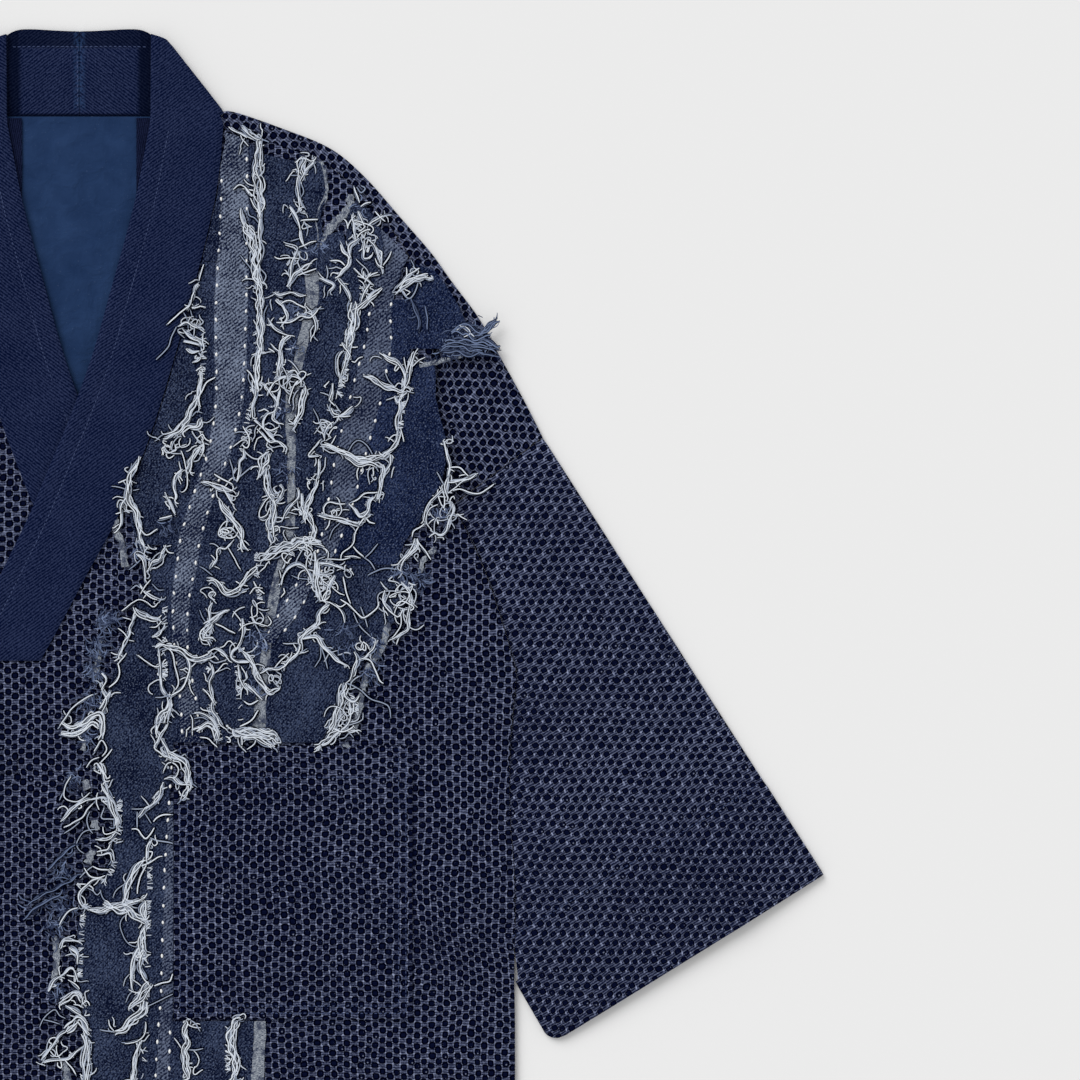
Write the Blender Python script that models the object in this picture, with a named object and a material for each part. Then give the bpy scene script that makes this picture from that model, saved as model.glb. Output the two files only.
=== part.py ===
# Jacket of honeycomb-woven cotton with a twill collar band and raw denim strips down
# its left front, laid flat with the front up. +Z is up, +Y runs towards the collar and
# +X towards the wearer's left sleeve. The origin lies under the middle of the back.
# Sizes are in millimetres and become metres where each mesh is made.
import math
import random
from collections import namedtuple

import bmesh
import bpy
from mathutils import Matrix, Vector

MM = 0.001

# Thickness of each cloth
WALL = 1.5
LINING_WALL = 1.0
DENIM_WALL = 1.0
BAND_WALL = 2.4

# Free space at seams, under what lies on a curved panel, and beside the band
SEAM_GAP = 0.3
LAY_GAP = 0.45
BAND_CLEAR = 1.0
NARROWEST = 0.6

# Body
FRONT_EDGE_X = -84.0
NECK_SEAM_Y = 357.0
NECK_SEAM_HALF = 98.7
BAND_END_Y = -22.4
BAND_TUCK = 8.0

# Lining behind the neck opening
LINING_HALF = 95.0
LINING_LOW_Y = 60.0

# How far a layer takes to rise over what lies beneath it
EASE = 100.0
LAP_RISE = WALL + LAY_GAP
BAND_RISE = BAND_WALL + LAY_GAP + 0.2

# Sleeve
CUFF_LOW = (331.5, -289.5)
CUFF_HIGH = (518.7, -173.3)
SHOULDER_POINT = (322.7, 132.1)
ARMPIT_INSET = 2.2
SLEEVE_PUFF = 1.8
SLEEVE_STEPS = 8

# Collar behind the neck
COLLAR_TOP = (52.0, 417.5)
COLLAR_FOOT = (98.7, 358.1)
COLLAR_TOP_MIDDLE_Y = 415.8
COLLAR_ROLL_STEPS = 4

# Columns across each cloth
FRONT_COLUMNS = {1: 18, -1: 12}
STRIP_COLUMN = 22.0
POCKET_ROWS = 8
BACK_COLUMNS = 8
BAND_COLUMNS = 3
SHOULDER_COLUMNS = 3
POCKET_COLUMNS = 8

# Pocket
POCKET_LEFT = 66.5
POCKET_RIGHT = 233.0
POCKET_TOP_Y = -81.9
POCKET_LOW_Y = -273.0

# Closure: a loop from the left front round a knot on the right front
TAB_WIDTH = 12.0
TAB_WALL = 1.6
TAB_Y = -94.5
TAB_END_X = -43.0
LOOP_RADIUS = 9.0
LOOP_CORD = 3.2
LOOP_STEPS = 14
KNOT_X = -98.0
KNOT_TAB_END_X = -146.0
KNOT_STEPS = 16
KNOT_NECK = 3.6
KNOT_RADIUS = 6.8

# Frayed edges
BACKING_WIDTH = 3.0
BACKING_HEIGHT = 1.0
STRAND_WIDTH = 1.6
STRAND_TAPER = (1.0, 0.8, 0.55)
STRAND_RISE = (0.5, 0.9, 0.4)
STRAND_TURN = 35.0

Side = namedtuple("Side", "y x")
HEM_SIDE = [Side(y, 304.5) for y in (-420, -391, -362, -333, -304, -275)]
ARMHOLE = [
    Side(-246.4, 304.0),
    Side(-204.4, 304.5),
    Side(-169.4, 303.8),
    Side(-130.0, 301.0),
    Side(-85.4, 301.0),
    Side(-57.4, 303.1),
    Side(-30.8, 305.2),
    Side(-22.4, 303.3),
    Side(-11.9, 300.3),
    Side(17.5, 291.2),
    Side(41.3, 282.8),
    Side(68.6, 270.2),
    Side(86.1, 261.1),
]

# The shoulder piece: where it folds over the shoulder, and its seam on the front
Shoulder = namedtuple("Shoulder", "seam_x seam_y fold_x fold_y")
SHOULDER = [
    Shoulder(261.1, 86.1, *SHOULDER_POINT),
    Shoulder(255.5, 107.1, 309.6, 158.0),
    Shoulder(249.9, 145.6, 294.5, 185.7),
    Shoulder(247.8, 179.2, 278.6, 214.6),
    Shoulder(245.0, 229.6, 257.6, 243.2),
    Shoulder(233.1, 254.8, 244.4, 261.6),
    Shoulder(214.2, 284.2, 225.2, 284.4),
    Shoulder(192.0, 308.0, 198.2, 312.3),
    Shoulder(169.4, 325.5, 174.0, 329.5),
    Shoulder(136.0, 338.6, 139.4, 343.2),
    Shoulder(104.6, 348.0, 105.2, 356.6),
]

# The band's two edges on the front, from its lower end to the neck
Band = namedtuple("Band", "y inner outer")
BAND = [
    Band(-22.4, -84.0, -25.9),
    Band(6.6, -69.3, -10.0),
    Band(35.7, -54.6, 5.4),
    Band(77.7, -34.3, 28.0),
    Band(119.7, -16.8, 45.0),
    Band(146.3, -5.6, 54.6),
    Band(189.0, 9.8, 67.5),
    Band(236.6, 23.1, 80.5),
    Band(294.7, 38.5, 94.2),
    Band(325.0, 44.6, 98.8),
    Band(352.0, 49.8, 101.0),
]

# Soft folds: middle, direction in degrees, half length, half width and height
Fold = namedtuple("Fold", "x y turn long wide high")
FOLDS = [
    Fold(250, -205, 52, 110, 42, 1.5),
    Fold(205, -345, 78, 90, 45, 1.2),
    Fold(372, -60, -58, 150, 46, 1.5),
    Fold(430, -160, -40, 110, 44, 1.3),
    Fold(352, -190, -62, 90, 40, 1.2),
    Fold(-232, -190, 118, 130, 44, 1.4),
    Fold(-190, -340, 96, 95, 46, 1.2),
    Fold(-215, 60, 104, 110, 44, 1.1),
    Fold(-365, -70, 236, 140, 46, 1.5),
    Fold(-425, -150, 222, 110, 44, 1.2),
]

# Seams between the denim strips, from the shoulder down: x of each at a height y
Seams = namedtuple(
    "Seams", "y edge fray_1 pale_1 pale_2 fray_4 ribbon_1 ribbon_2 fray_6 pale_3 pale_4 fray_7 outer"
)
SEAMS = [
    Seams(340.0, 101, 101, 103, 118, 122, 130, 140, 150, 160, 170, 180, 190),
    Seams(324.0, 100, 100, 100, 118, 126, 154, 164, 170, 180, 190, 200, 206),
    Seams(299.6, 96, 97, 99, 118, 127, 155, 171, 186, 196, 204, 210, 214),
    Seams(264.6, 87, 89, 96, 118, 126, 156, 169, 186, 211, 231, 233, 236),
    Seams(229.6, 80, 85, 95, 118, 126, 158, 168, 190, 204, 219, 228, 262),
    Seams(194.6, 70, 84, 96, 117, 126, 151, 160, 186, 199, 219, 231, 276),
    Seams(187.6, 68, 84, 96, 117, 126, 150, 158, 184, 196, 217, 230, 248),
    Seams(159.6, 60, 80, 96, 115, 124, 144, 154, 176, 189, 212, 224, 249),
    Seams(124.6, 47, 76, 91, 107, 116, 145, 152, 168, 180, 202, 215, 256),
    Seams(89.6, 36, 68, 79, 94, 106, 145, 152, 163, 174, 193, 204, 248),
    Seams(58.0, 42, 59, 70, 85, 99, 142, 151, 162, 168, 182, 192, 226),
    Seams(44.1, 50, 57, 69, 83, 96, 138, 148, 158, 164, 176, 186, 224),
    Seams(19.6, 43, 56, 66, 78, 91, 132, 140, 150, 158, 168, 180, 228),
    Seams(-15.4, 31, 56, 67, 77, 90, 127, 135, 144, 152, 160, 170, 204),
    Seams(-50.4, 20, 58, 71, 83, 93, 123, 132, 140, 148, 156, 164, 182),
    Seams(-79.8, 17, 60, 72, 86, 97, 119, 131, 138, 145, 152, 160, 169),
]

# The same strips beside and below the pocket
Lower = namedtuple("Lower", "y edge fray_2 pale_1 pale_2 ribbon_3 ribbon_4")
LOWER = [
    Lower(-79.8, 17.0, 60.0, 65.6, 65.9, 120, 130),
    Lower(-120.4, 23.1, 56.0, 63.0, 65.9, 120, 130),
    Lower(-155.4, 24.5, 50.0, 60.5, 65.9, 120, 130),
    Lower(-197.4, 3.5, 48.0, 58.5, 65.6, 120, 130),
    Lower(-225.4, -0.7, 48.0, 58.0, 65.4, 120, 130),
    Lower(-260.4, 2.8, 45.0, 57.0, 65.2, 120, 130),
    Lower(-274.0, 4.0, 43.6, 56.0, 64.9, 122, 130),
    Lower(-295.4, 5.6, 41.0, 54.0, 64.4, 121, 129.5),
    Lower(-330.0, 6.0, 38.0, 53.0, 64.0, 119, 128),
    Lower(-375.0, 7.0, 37.0, 52.0, 63.5, 118, 127),
    Lower(-416.0, 8.0, 36.5, 51.5, 63.0, 117, 126),
]

# Each strip: its two seams in a table, and the heights between which it shows
Strip = namedtuple("Strip", "name table left right top low colour")
STRIPS = [
    Strip("denim_collar_side", SEAMS, "edge", "fray_1", 264.6, 58.0, "denim"),
    Strip("denim_front_edge", SEAMS, "edge", "fray_1", 44.1, -79.8, "denim"),
    Strip("denim_front_edge_low", LOWER, "edge", "fray_2", -79.8, -416.0, "denim"),
    Strip("denim_inner", SEAMS, "fray_1", "pale_1", 264.6, -79.8, "denim"),
    Strip("denim_inner_low", LOWER, "fray_2", "pale_1", -79.8, -416.0, "denim"),
    Strip("light_denim_long", SEAMS, "pale_1", "pale_2", 340.0, -79.8, "light_denim"),
    Strip("light_denim_low", LOWER, "pale_1", "pale_2", -120.4, -416.0, "light_denim"),
    Strip("denim_middle", SEAMS, "pale_2", "fray_4", 324.0, -79.8, "denim"),
    Strip("denim_broad", SEAMS, "fray_4", "ribbon_1", 324.0, -79.8, "denim"),
    Strip("ribbon_long", SEAMS, "ribbon_1", "ribbon_2", 299.6, -79.8, "ribbon"),
    Strip("denim_shoulder", SEAMS, "ribbon_2", "fray_6", 229.6, 58.0, "denim"),
    Strip("denim_under_light", SEAMS, "fray_6", "pale_3", 264.6, 58.0, "denim"),
    Strip("light_denim_shoulder", SEAMS, "pale_3", "pale_4", 264.6, 44.1, "light_denim"),
    Strip("denim_slim", SEAMS, "pale_4", "fray_7", 229.6, 44.1, "denim"),
    Strip("denim_outer", SEAMS, "fray_7", "outer", 187.6, 44.1, "denim"),
    Strip("denim_shoulder_flap", SEAMS, "fray_7", "outer", 264.6, 194.6, "denim"),
    Strip("denim_low", SEAMS, "ribbon_2", "outer", 19.6, -79.8, "denim"),
    Strip("denim_below_pocket", LOWER, "pale_2", "ribbon_3", -274.0, -416.0, "denim"),
    Strip("ribbon_low", LOWER, "ribbon_3", "ribbon_4", -274.0, -416.0, "ribbon"),
]

# Frayed edges: strands, their reach to either side, the seed and the way they follow
Fray = namedtuple("Fray", "name strands left right seed way")
FRAYS = [
    Fray("fray_collar_side", 18, 6, 7, 1, [(89, 236), (85, 205), (84, 174), (73, 143), (70, 110), (58, 80)]),
    Fray("fray_front_edge", 26, 11, 6, 2, [(45, 22), (30, -18), (18, -55), (16, -88), (24, -128), (22, -162),
                                           (4, -182), (-1, -220), (3, -262), (6, -310)]),
    Fray("fray_inner", 26, 9, 7, 3, [(60, 75), (57, 30), (56, -20), (60, -60), (58, -84), (52, -128),
                                     (46, -170), (47, -215), (43, -262), (40, -312)]),
    Fray("fray_middle", 26, 8, 8, 4, [(121, 318), (126, 290), (125, 250), (126, 205), (124, 165), (112, 110),
                                      (98, 60), (90, 10), (90, -30), (96, -74)]),
    Fray("fray_ribbon", 28, 10, 7, 5, [(154, 312), (154, 270), (149, 235), (143, 195), (142, 150), (143, 95),
                                       (136, 50), (128, 10), (123, -30), (118, -70)]),
    Fray("fray_shoulder", 20, 8, 6, 6, [(188, 238), (187, 205), (178, 165), (166, 130), (161, 88),
                                        (162, 60)]),
    Fray("fray_slim", 16, 8, 6, 7, [(231, 190), (225, 155), (214, 118), (202, 84), (190, 52)]),
    Fray("fray_outer", 20, 8, 9, 8, [(251, 140), (254, 112), (245, 86), (225, 56), (224, 36), (226, 16),
                                     (208, -8), (196, -28), (184, -50), (172, -76)]),
    Fray("fray_flap", 8, 2, 11, 9, [(261, 228), (271, 208), (275, 197)]),
]

COLOURS = {
    "sashiko": ((0.035, 0.043, 0.105), 0.85),
    "twill": ((0.012, 0.022, 0.085), 0.80),
    "lining": ((0.018, 0.045, 0.110), 0.60),
    "denim": ((0.022, 0.036, 0.085), 0.90),
    "light_denim": ((0.090, 0.125, 0.185), 0.90),
    "ribbon": ((0.300, 0.330, 0.390), 0.95),
    "thread": ((0.560, 0.610, 0.660), 0.95),
}


def smooth(t):
    t = min(1.0, max(0.0, t))
    return t * t * (3.0 - 2.0 * t)


def value_at(rows, column, y):
    """The value of a table's column at a height, between the two rows around it."""
    rows = sorted(rows, key=lambda row: row.y)
    if y <= rows[0].y:
        return float(getattr(rows[0], column))
    for low, high in zip(rows, rows[1:]):
        if y <= high.y:
            share = (y - low.y) / (high.y - low.y)
            return getattr(low, column) * (1 - share) + getattr(high, column) * share
    return float(getattr(rows[-1], column))


def fold_height(x, y):
    height = 0.0
    for fold in FOLDS:
        turn = math.radians(fold.turn)
        along = (x - fold.x) * math.cos(turn) + (y - fold.y) * math.sin(turn)
        across = (y - fold.y) * math.cos(turn) - (x - fold.x) * math.sin(turn)
        height += fold.high * (1 - smooth(abs(along) / fold.long)) * (1 - smooth(abs(across) / fold.wide))
    return height


def upper_layer(x, y):
    """The underside of the upper layer of cloth, which lies on the back and its lining."""
    on_lining = (1 - smooth((abs(x) - LINING_HALF) / EASE)) * smooth((y - LINING_LOW_Y + EASE) / EASE)
    return WALL + SEAM_GAP + (LINING_WALL + SEAM_GAP) * on_lining + fold_height(x, y)


def front_under(side, x, y):
    """The underside of a front. The left one rises over the right front and its band."""
    if side < 0:
        return upper_layer(x, y)
    over_band = smooth((y - BAND_END_Y + EASE) / (EASE * 0.8))
    rise = LAP_RISE + BAND_RISE * over_band
    return upper_layer(x, y) + rise * (1 - smooth((x + FRONT_EDGE_X) / EASE)) * (1 - smooth((y - 170) / 150))


def front_top(side, x, y):
    return front_under(side, x, y) + WALL


def material(colour):
    found = bpy.data.materials.get(colour)
    if found:
        return found
    rgb, roughness = COLOURS[colour]
    made = bpy.data.materials.new(colour)
    made.use_nodes = True
    shader = made.node_tree.nodes["Principled BSDF"]
    shader.inputs["Base Color"].default_value = (*rgb, 1.0)
    shader.inputs["Roughness"].default_value = roughness
    made.diffuse_color = (*rgb, 1.0)
    return made


def add_object(name, bm, colour):
    bmesh.ops.recalc_face_normals(bm, faces=bm.faces)
    mesh = bpy.data.meshes.new(name)
    bm.to_mesh(mesh)
    bm.free()
    mesh.shade_smooth()
    mesh.set_sharp_from_angle(angle=math.radians(40))
    mesh.materials.append(material(colour))
    made = bpy.data.objects.new(name, mesh)
    bpy.context.scene.collection.objects.link(made)
    return made


def add_wall(name, outer, inner, colour, ring=False):
    """A closed wall between two grids of points, open round its middle where it is a ring."""
    bm = bmesh.new()
    skins = []
    for grid in (outer, inner):
        skins.append([[bm.verts.new(Vector(point) * MM) for point in row] for row in grid])
    rows = len(outer)
    columns = len(outer[0])
    spans = columns if ring else columns - 1
    for skin in skins:
        for i in range(rows - 1):
            for j in range(spans):
                k = (j + 1) % columns
                bm.faces.new((skin[i][j], skin[i][k], skin[i + 1][k], skin[i + 1][j]))
    for i in (0, rows - 1):
        for j in range(spans):
            k = (j + 1) % columns
            bm.faces.new((skins[0][i][j], skins[0][i][k], skins[1][i][k], skins[1][i][j]))
    if not ring:
        for j in (0, columns - 1):
            for i in range(rows - 1):
                bm.faces.new((skins[0][i][j], skins[0][i + 1][j], skins[1][i + 1][j], skins[1][i][j]))
    return add_object(name, bm, colour)


def add_sheet(name, rows, columns, under, wall, colour):
    """A flat-laid cloth: each row is (left x, left y, right x, right y)."""
    outer = []
    inner = []
    for left_x, left_y, right_x, right_y in rows:
        upper = []
        lower = []
        for j in range(columns + 1):
            share = j / columns
            x = left_x + (right_x - left_x) * share
            y = left_y + (right_y - left_y) * share
            z = under(x, y)
            upper.append((x, y, z + wall))
            lower.append((x, y, z))
        outer.append(upper)
        inner.append(lower)
    return add_wall(name, outer, inner, colour)


def side_rows():
    """The outer edge of a front or back, from the hem up to the neck: (x, y)."""
    rows = [(row.x, row.y) for row in HEM_SIDE + ARMHOLE]
    rows += [(row.seam_x, row.seam_y) for row in SHOULDER[1:]]
    return rows


def inner_edge(y):
    if y <= BAND_END_Y:
        return FRONT_EDGE_X
    return value_at(BAND, "outer", y) - BAND_TUCK


def add_front(name, side):
    rows = [(side * inner_edge(y), y, side * x, y) for x, y in side_rows()]
    add_sheet(name, rows, FRONT_COLUMNS[side], lambda x, y: front_under(side, x, y), WALL, "sashiko")


def add_back():
    rows = [(-x, y, x, y) for x, y in side_rows()]
    top = NECK_SEAM_Y - SEAM_GAP
    rows.append((-NECK_SEAM_HALF, top, NECK_SEAM_HALF, top))
    add_sheet("back_panel", rows, BACK_COLUMNS, lambda x, y: 0.0, WALL, "sashiko")


def add_lining():
    rows = []
    for y in (LINING_LOW_Y, NECK_SEAM_Y - SEAM_GAP):
        rows.append((-LINING_HALF, y, LINING_HALF, y))
    add_sheet("back_lining", rows, 2, lambda x, y: WALL + SEAM_GAP, LINING_WALL, "lining")


def turned_edge(x, y, out, top, low, steps=2):
    """Points round a folded edge, from height top to height low, bulging along out."""
    middle = (top + low) / 2
    radius = (top - low) / 2
    points = []
    for k in range(1, steps + 1):
        angle = math.pi * k / (steps + 1)
        reach = radius * math.sin(angle)
        points.append((x + out[0] * reach, y + out[1] * reach, middle + radius * math.cos(angle)))
    return points


def add_shoulder(name, side):
    """A strip folded over the shoulder, open towards its seam with the front and back."""
    outer = []
    inner = []
    last = len(SHOULDER) - 1
    for i, row in enumerate(SHOULDER):
        seam = Vector((row.seam_x, row.seam_y))
        fold = Vector((row.fold_x, row.fold_y))
        if i == 0:
            following = SHOULDER[1]
            seam += (Vector((following.seam_x, following.seam_y)) - seam).normalized() * SEAM_GAP * 1.5
            fold += (Vector((following.fold_x, following.fold_y)) - fold).normalized() * SEAM_GAP * 1.5
        seam += (fold - seam).normalized() * SEAM_GAP
        before = SHOULDER[max(i - 1, 0)]
        after = SHOULDER[min(i + 1, last)]
        run = Vector((after.fold_x - before.fold_x, after.fold_y - before.fold_y)).normalized()
        out = (side * run.y, -run.x)
        line = [seam.lerp(fold, j / SHOULDER_COLUMNS) for j in range(SHOULDER_COLUMNS + 1)]
        line = [(side * point.x, point.y) for point in line]
        lifts = [upper_layer(x, y) for x, y in line]
        x, y = line[-1]
        lift = lifts[-1]
        round_outside = turned_edge(x, y, out, lift + WALL, 0.0)
        round_inside = turned_edge(x, y, out, lift, WALL)
        upper = [(x, y, z + WALL) for (x, y), z in zip(line, lifts)]
        lower = [(x, y, 0.0) for x, y in reversed(line)]
        outer.append(upper + round_outside + lower)
        upper = [(x, y, z) for (x, y), z in zip(line, lifts)]
        lower = [(x, y, WALL) for x, y in reversed(line)]
        inner.append(upper + round_inside + lower)
    add_wall(name, outer, inner, "sashiko")


def sleeve_line(step):
    """The sleeve's width at a step towards the cuff, from the underarm to the top fold."""
    start = [Vector((row.x + SEAM_GAP, row.y)) for row in ARMHOLE]
    start[0].x += ARMPIT_INSET
    shoulder = Vector(SHOULDER_POINT)
    start.append(start[-1].lerp(shoulder, 0.5))
    start.append(shoulder)
    lengths = [0.0]
    for one, two in zip(start, start[1:]):
        lengths.append(lengths[-1] + (two - one).length)
    line = []
    for point, length in zip(start, lengths):
        cuff = Vector(CUFF_LOW).lerp(Vector(CUFF_HIGH), length / lengths[-1])
        line.append(point.lerp(cuff, step))
    return line


def add_sleeve(name, side):
    low_run = (Vector(CUFF_LOW) - Vector((ARMHOLE[0].x + ARMPIT_INSET, ARMHOLE[0].y))).normalized()
    high_run = (Vector(CUFF_HIGH) - Vector(SHOULDER_POINT)).normalized()
    low_out = (side * low_run.y, -low_run.x)
    high_out = (-side * high_run.y, high_run.x)
    outer = []
    inner = []
    for i in range(SLEEVE_STEPS + 1):
        step = i / SLEEVE_STEPS
        line = sleeve_line(step)
        width = (line[-1] - line[0]).length
        points = []
        for point in line:
            share = (point - line[0]).length / width
            puff = SLEEVE_PUFF * math.sin(math.pi * min(1.0, share)) * smooth(step * 3)
            x = side * point.x
            points.append((x, point.y, upper_layer(x, point.y) + max(0.0, puff)))
        x, y, lift = points[-1]
        top_outside = turned_edge(x, y, high_out, lift + WALL, 0.0)
        top_inside = turned_edge(x, y, high_out, lift, WALL)
        x, y, lift = points[0]
        low_outside = turned_edge(x, y, low_out, lift + WALL, 0.0)[::-1]
        low_inside = turned_edge(x, y, low_out, lift, WALL)[::-1]
        upper = [(x, y, z + WALL) for x, y, z in points]
        lower = [(x, y, 0.0) for x, y, z in reversed(points)]
        outer.append(upper + top_outside + lower + low_outside)
        lower = [(x, y, WALL) for x, y, z in reversed(points)]
        inner.append(points + top_inside + lower + low_inside)
    add_wall(name, outer, inner, "sashiko", ring=True)


def add_collar(name, side):
    """The band up one front, rolled over at the side of the neck and on to the centre back."""
    upper = []
    lower = []
    for row in BAND:
        line = []
        for j in range(BAND_COLUMNS + 1):
            x = side * (row.inner + (row.outer - row.inner) * j / BAND_COLUMNS)
            line.append((x, row.y, front_top(side, x, row.y) + LAY_GAP))
        lower.append(line)
        upper.append([(x, y, z + BAND_WALL) for x, y, z in line])
    top = Vector(COLLAR_TOP)
    foot = Vector(COLLAR_FOOT)
    run = (foot - top).normalized()
    out = (-side * run.y, run.x)
    fold = [top.lerp(foot, j / BAND_COLUMNS) for j in range(BAND_COLUMNS + 1)]
    fold = [(side * point.x, point.y) for point in fold]
    lift = front_top(side, *fold[0]) + LAY_GAP
    for k in range(COLLAR_ROLL_STEPS + 2):
        outside = []
        inside = []
        for x, y in fold:
            ends = [(x, y, lift + BAND_WALL)]
            ends += turned_edge(x, y, out, lift + BAND_WALL, 0.0, COLLAR_ROLL_STEPS)
            ends.append((x, y, 0.0))
            outside.append(ends[k])
            ends = [(x, y, lift)]
            ends += turned_edge(x, y, out, lift, BAND_WALL, COLLAR_ROLL_STEPS)
            ends.append((x, y, BAND_WALL))
            inside.append(ends[k])
        upper.append(outside)
        lower.append(inside)
    middle = SEAM_GAP / 2
    for share in (0.35, 0.7, 1.0):
        one = top.lerp(Vector((middle, COLLAR_TOP_MIDDLE_Y)), share)
        two = foot.lerp(Vector((middle, foot.y)), share)
        line = [one.lerp(two, j / BAND_COLUMNS) for j in range(BAND_COLUMNS + 1)]
        upper.append([(side * point.x, point.y, 0.0) for point in line])
        lower.append([(side * point.x, point.y, BAND_WALL) for point in line])
    add_wall(name, upper, lower, "twill")


def on_front(x, y):
    return front_top(1, x, y) + LAY_GAP


def add_strip(strip):
    shape = []
    for row in strip.table:
        if not strip.low <= row.y <= strip.top:
            continue
        y = row.y
        if y == strip.top:
            y -= SEAM_GAP
        if y == strip.low:
            y += SEAM_GAP
        left = getattr(row, strip.left) + SEAM_GAP
        if strip.table is SEAMS and strip.left == "edge":
            left = max(left, value_at(BAND, "outer", y) + BAND_CLEAR)
        right = max(getattr(row, strip.right) - SEAM_GAP, left + NARROWEST)
        shape.append((left, y, right, y))
    widest = max(right - left for left, _, right, _ in shape)
    columns = max(1, round(widest / STRIP_COLUMN))
    add_sheet(strip.name, shape, columns, on_front, DENIM_WALL, strip.colour)


def add_pocket():
    rows = []
    for i in range(POCKET_ROWS + 1):
        y = POCKET_LOW_Y + (POCKET_TOP_Y - POCKET_LOW_Y) * i / POCKET_ROWS
        rows.append((POCKET_LEFT, y, POCKET_RIGHT, y))
    add_sheet("pocket", rows, POCKET_COLUMNS, on_front, WALL, "sashiko")


def add_plate(name, points, faces, low, wall, colour):
    """A flat plate of even thickness over faces drawn in plan."""
    bm = bmesh.new()
    lower = [bm.verts.new(Vector((x, y, low)) * MM) for x, y in points]
    upper = [bm.verts.new(Vector((x, y, low + wall)) * MM) for x, y in points]
    uses = {}
    for face in faces:
        bm.faces.new([upper[k] for k in face])
        bm.faces.new([lower[k] for k in reversed(face)])
        for one, two in zip(face, face[1:] + face[:1]):
            uses.setdefault(frozenset((one, two)), []).append((one, two))
    for found in uses.values():
        if len(found) == 1:
            one, two = found[0]
            bm.faces.new((upper[two], upper[one], lower[one], lower[two]))
    return add_object(name, bm, colour)


def add_closure():
    """The left front's tab ends in a loop round the knot, which stands on the right tab."""
    half = TAB_WIDTH / 2
    first = math.asin(half / LOOP_RADIUS)
    points = []
    for k in range(LOOP_STEPS + 1):
        angle = first + (2 * math.pi - 2 * first) * k / LOOP_STEPS
        for radius in (LOOP_RADIUS, LOOP_RADIUS - LOOP_CORD):
            points.append((KNOT_X + radius * math.cos(angle), TAB_Y + radius * math.sin(angle)))
    faces = [(2 * k, 2 * k + 2, 2 * k + 3, 2 * k + 1) for k in range(LOOP_STEPS)]
    last = 2 * LOOP_STEPS
    faces.append((last, 0, 1, last + 1))
    points += [(TAB_END_X, TAB_Y + half), (TAB_END_X, TAB_Y - half)]
    faces.append((last, last + 3, last + 2, 0))
    tab_low = max(on_front(x, TAB_Y + y) for x in (TAB_END_X, FRONT_EDGE_X) for y in (-half, half))
    add_plate("closure_loop", points, faces, tab_low, TAB_WALL, "sashiko")

    near = KNOT_X + KNOT_NECK + SEAM_GAP
    corners = [(KNOT_TAB_END_X, TAB_Y - half), (near, TAB_Y - half), (near, TAB_Y + half),
               (KNOT_TAB_END_X, TAB_Y + half)]
    knot_low = max(front_top(-1, x, y) for x, y in corners) + LAY_GAP
    add_plate("closure_tab", corners, [(0, 1, 2, 3)], knot_low, TAB_WALL, "sashiko")

    stand = knot_low + TAB_WALL + SEAM_GAP
    above = tab_low + TAB_WALL + SEAM_GAP
    profile = [
        (KNOT_NECK, stand),
        (KNOT_NECK, above),
        (KNOT_RADIUS * 0.9, above + 0.6),
        (KNOT_RADIUS, above + 1.9),
        (KNOT_RADIUS * 0.85, above + 3.4),
        (KNOT_RADIUS * 0.45, above + 4.5),
    ]
    bm = bmesh.new()
    rings = []
    for radius, z in profile:
        ring = []
        for k in range(KNOT_STEPS):
            angle = 2 * math.pi * k / KNOT_STEPS
            x = KNOT_X + radius * math.cos(angle)
            y = TAB_Y + radius * math.sin(angle)
            ring.append(bm.verts.new(Vector((x, y, z)) * MM))
        rings.append(ring)
    for one, two in zip(rings, rings[1:]):
        for k in range(KNOT_STEPS):
            after = (k + 1) % KNOT_STEPS
            bm.faces.new((one[k], one[after], two[after], two[k]))
    bm.faces.new(rings[0])
    bm.faces.new(rings[-1])
    add_object("closure_knot", bm, "sashiko")


def along(way):
    """The point and direction at a length along a smooth curve through a way, and its whole length."""
    knots = [Vector(point) for point in way]
    knots = [knots[0] * 2 - knots[1]] + knots + [knots[-1] * 2 - knots[-2]]
    dense = []
    for a, b, c, d in zip(knots, knots[1:], knots[2:], knots[3:]):
        for k in range(8):
            t = k / 8
            dense.append(((b * 2) + (c - a) * t + (a * 2 - b * 5 + c * 4 - d) * t ** 2
                          + (b * 3 - a - c * 3 + d) * t ** 3) / 2)
    dense.append(knots[-2])
    lengths = [0.0]
    for one, two in zip(dense, dense[1:]):
        lengths.append(lengths[-1] + (two - one).length)

    def at(length):
        k = 1
        while k < len(dense) - 1 and lengths[k] < length:
            k += 1
        share = (length - lengths[k - 1]) / (lengths[k] - lengths[k - 1])
        run = (dense[min(k + 1, len(dense) - 1)] - dense[max(k - 2, 0)]).normalized()
        return dense[k - 1].lerp(dense[k], share), run

    return at, lengths[-1]


def on_strips(point):
    return on_front(point.x, point.y) + WALL + SEAM_GAP


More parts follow.
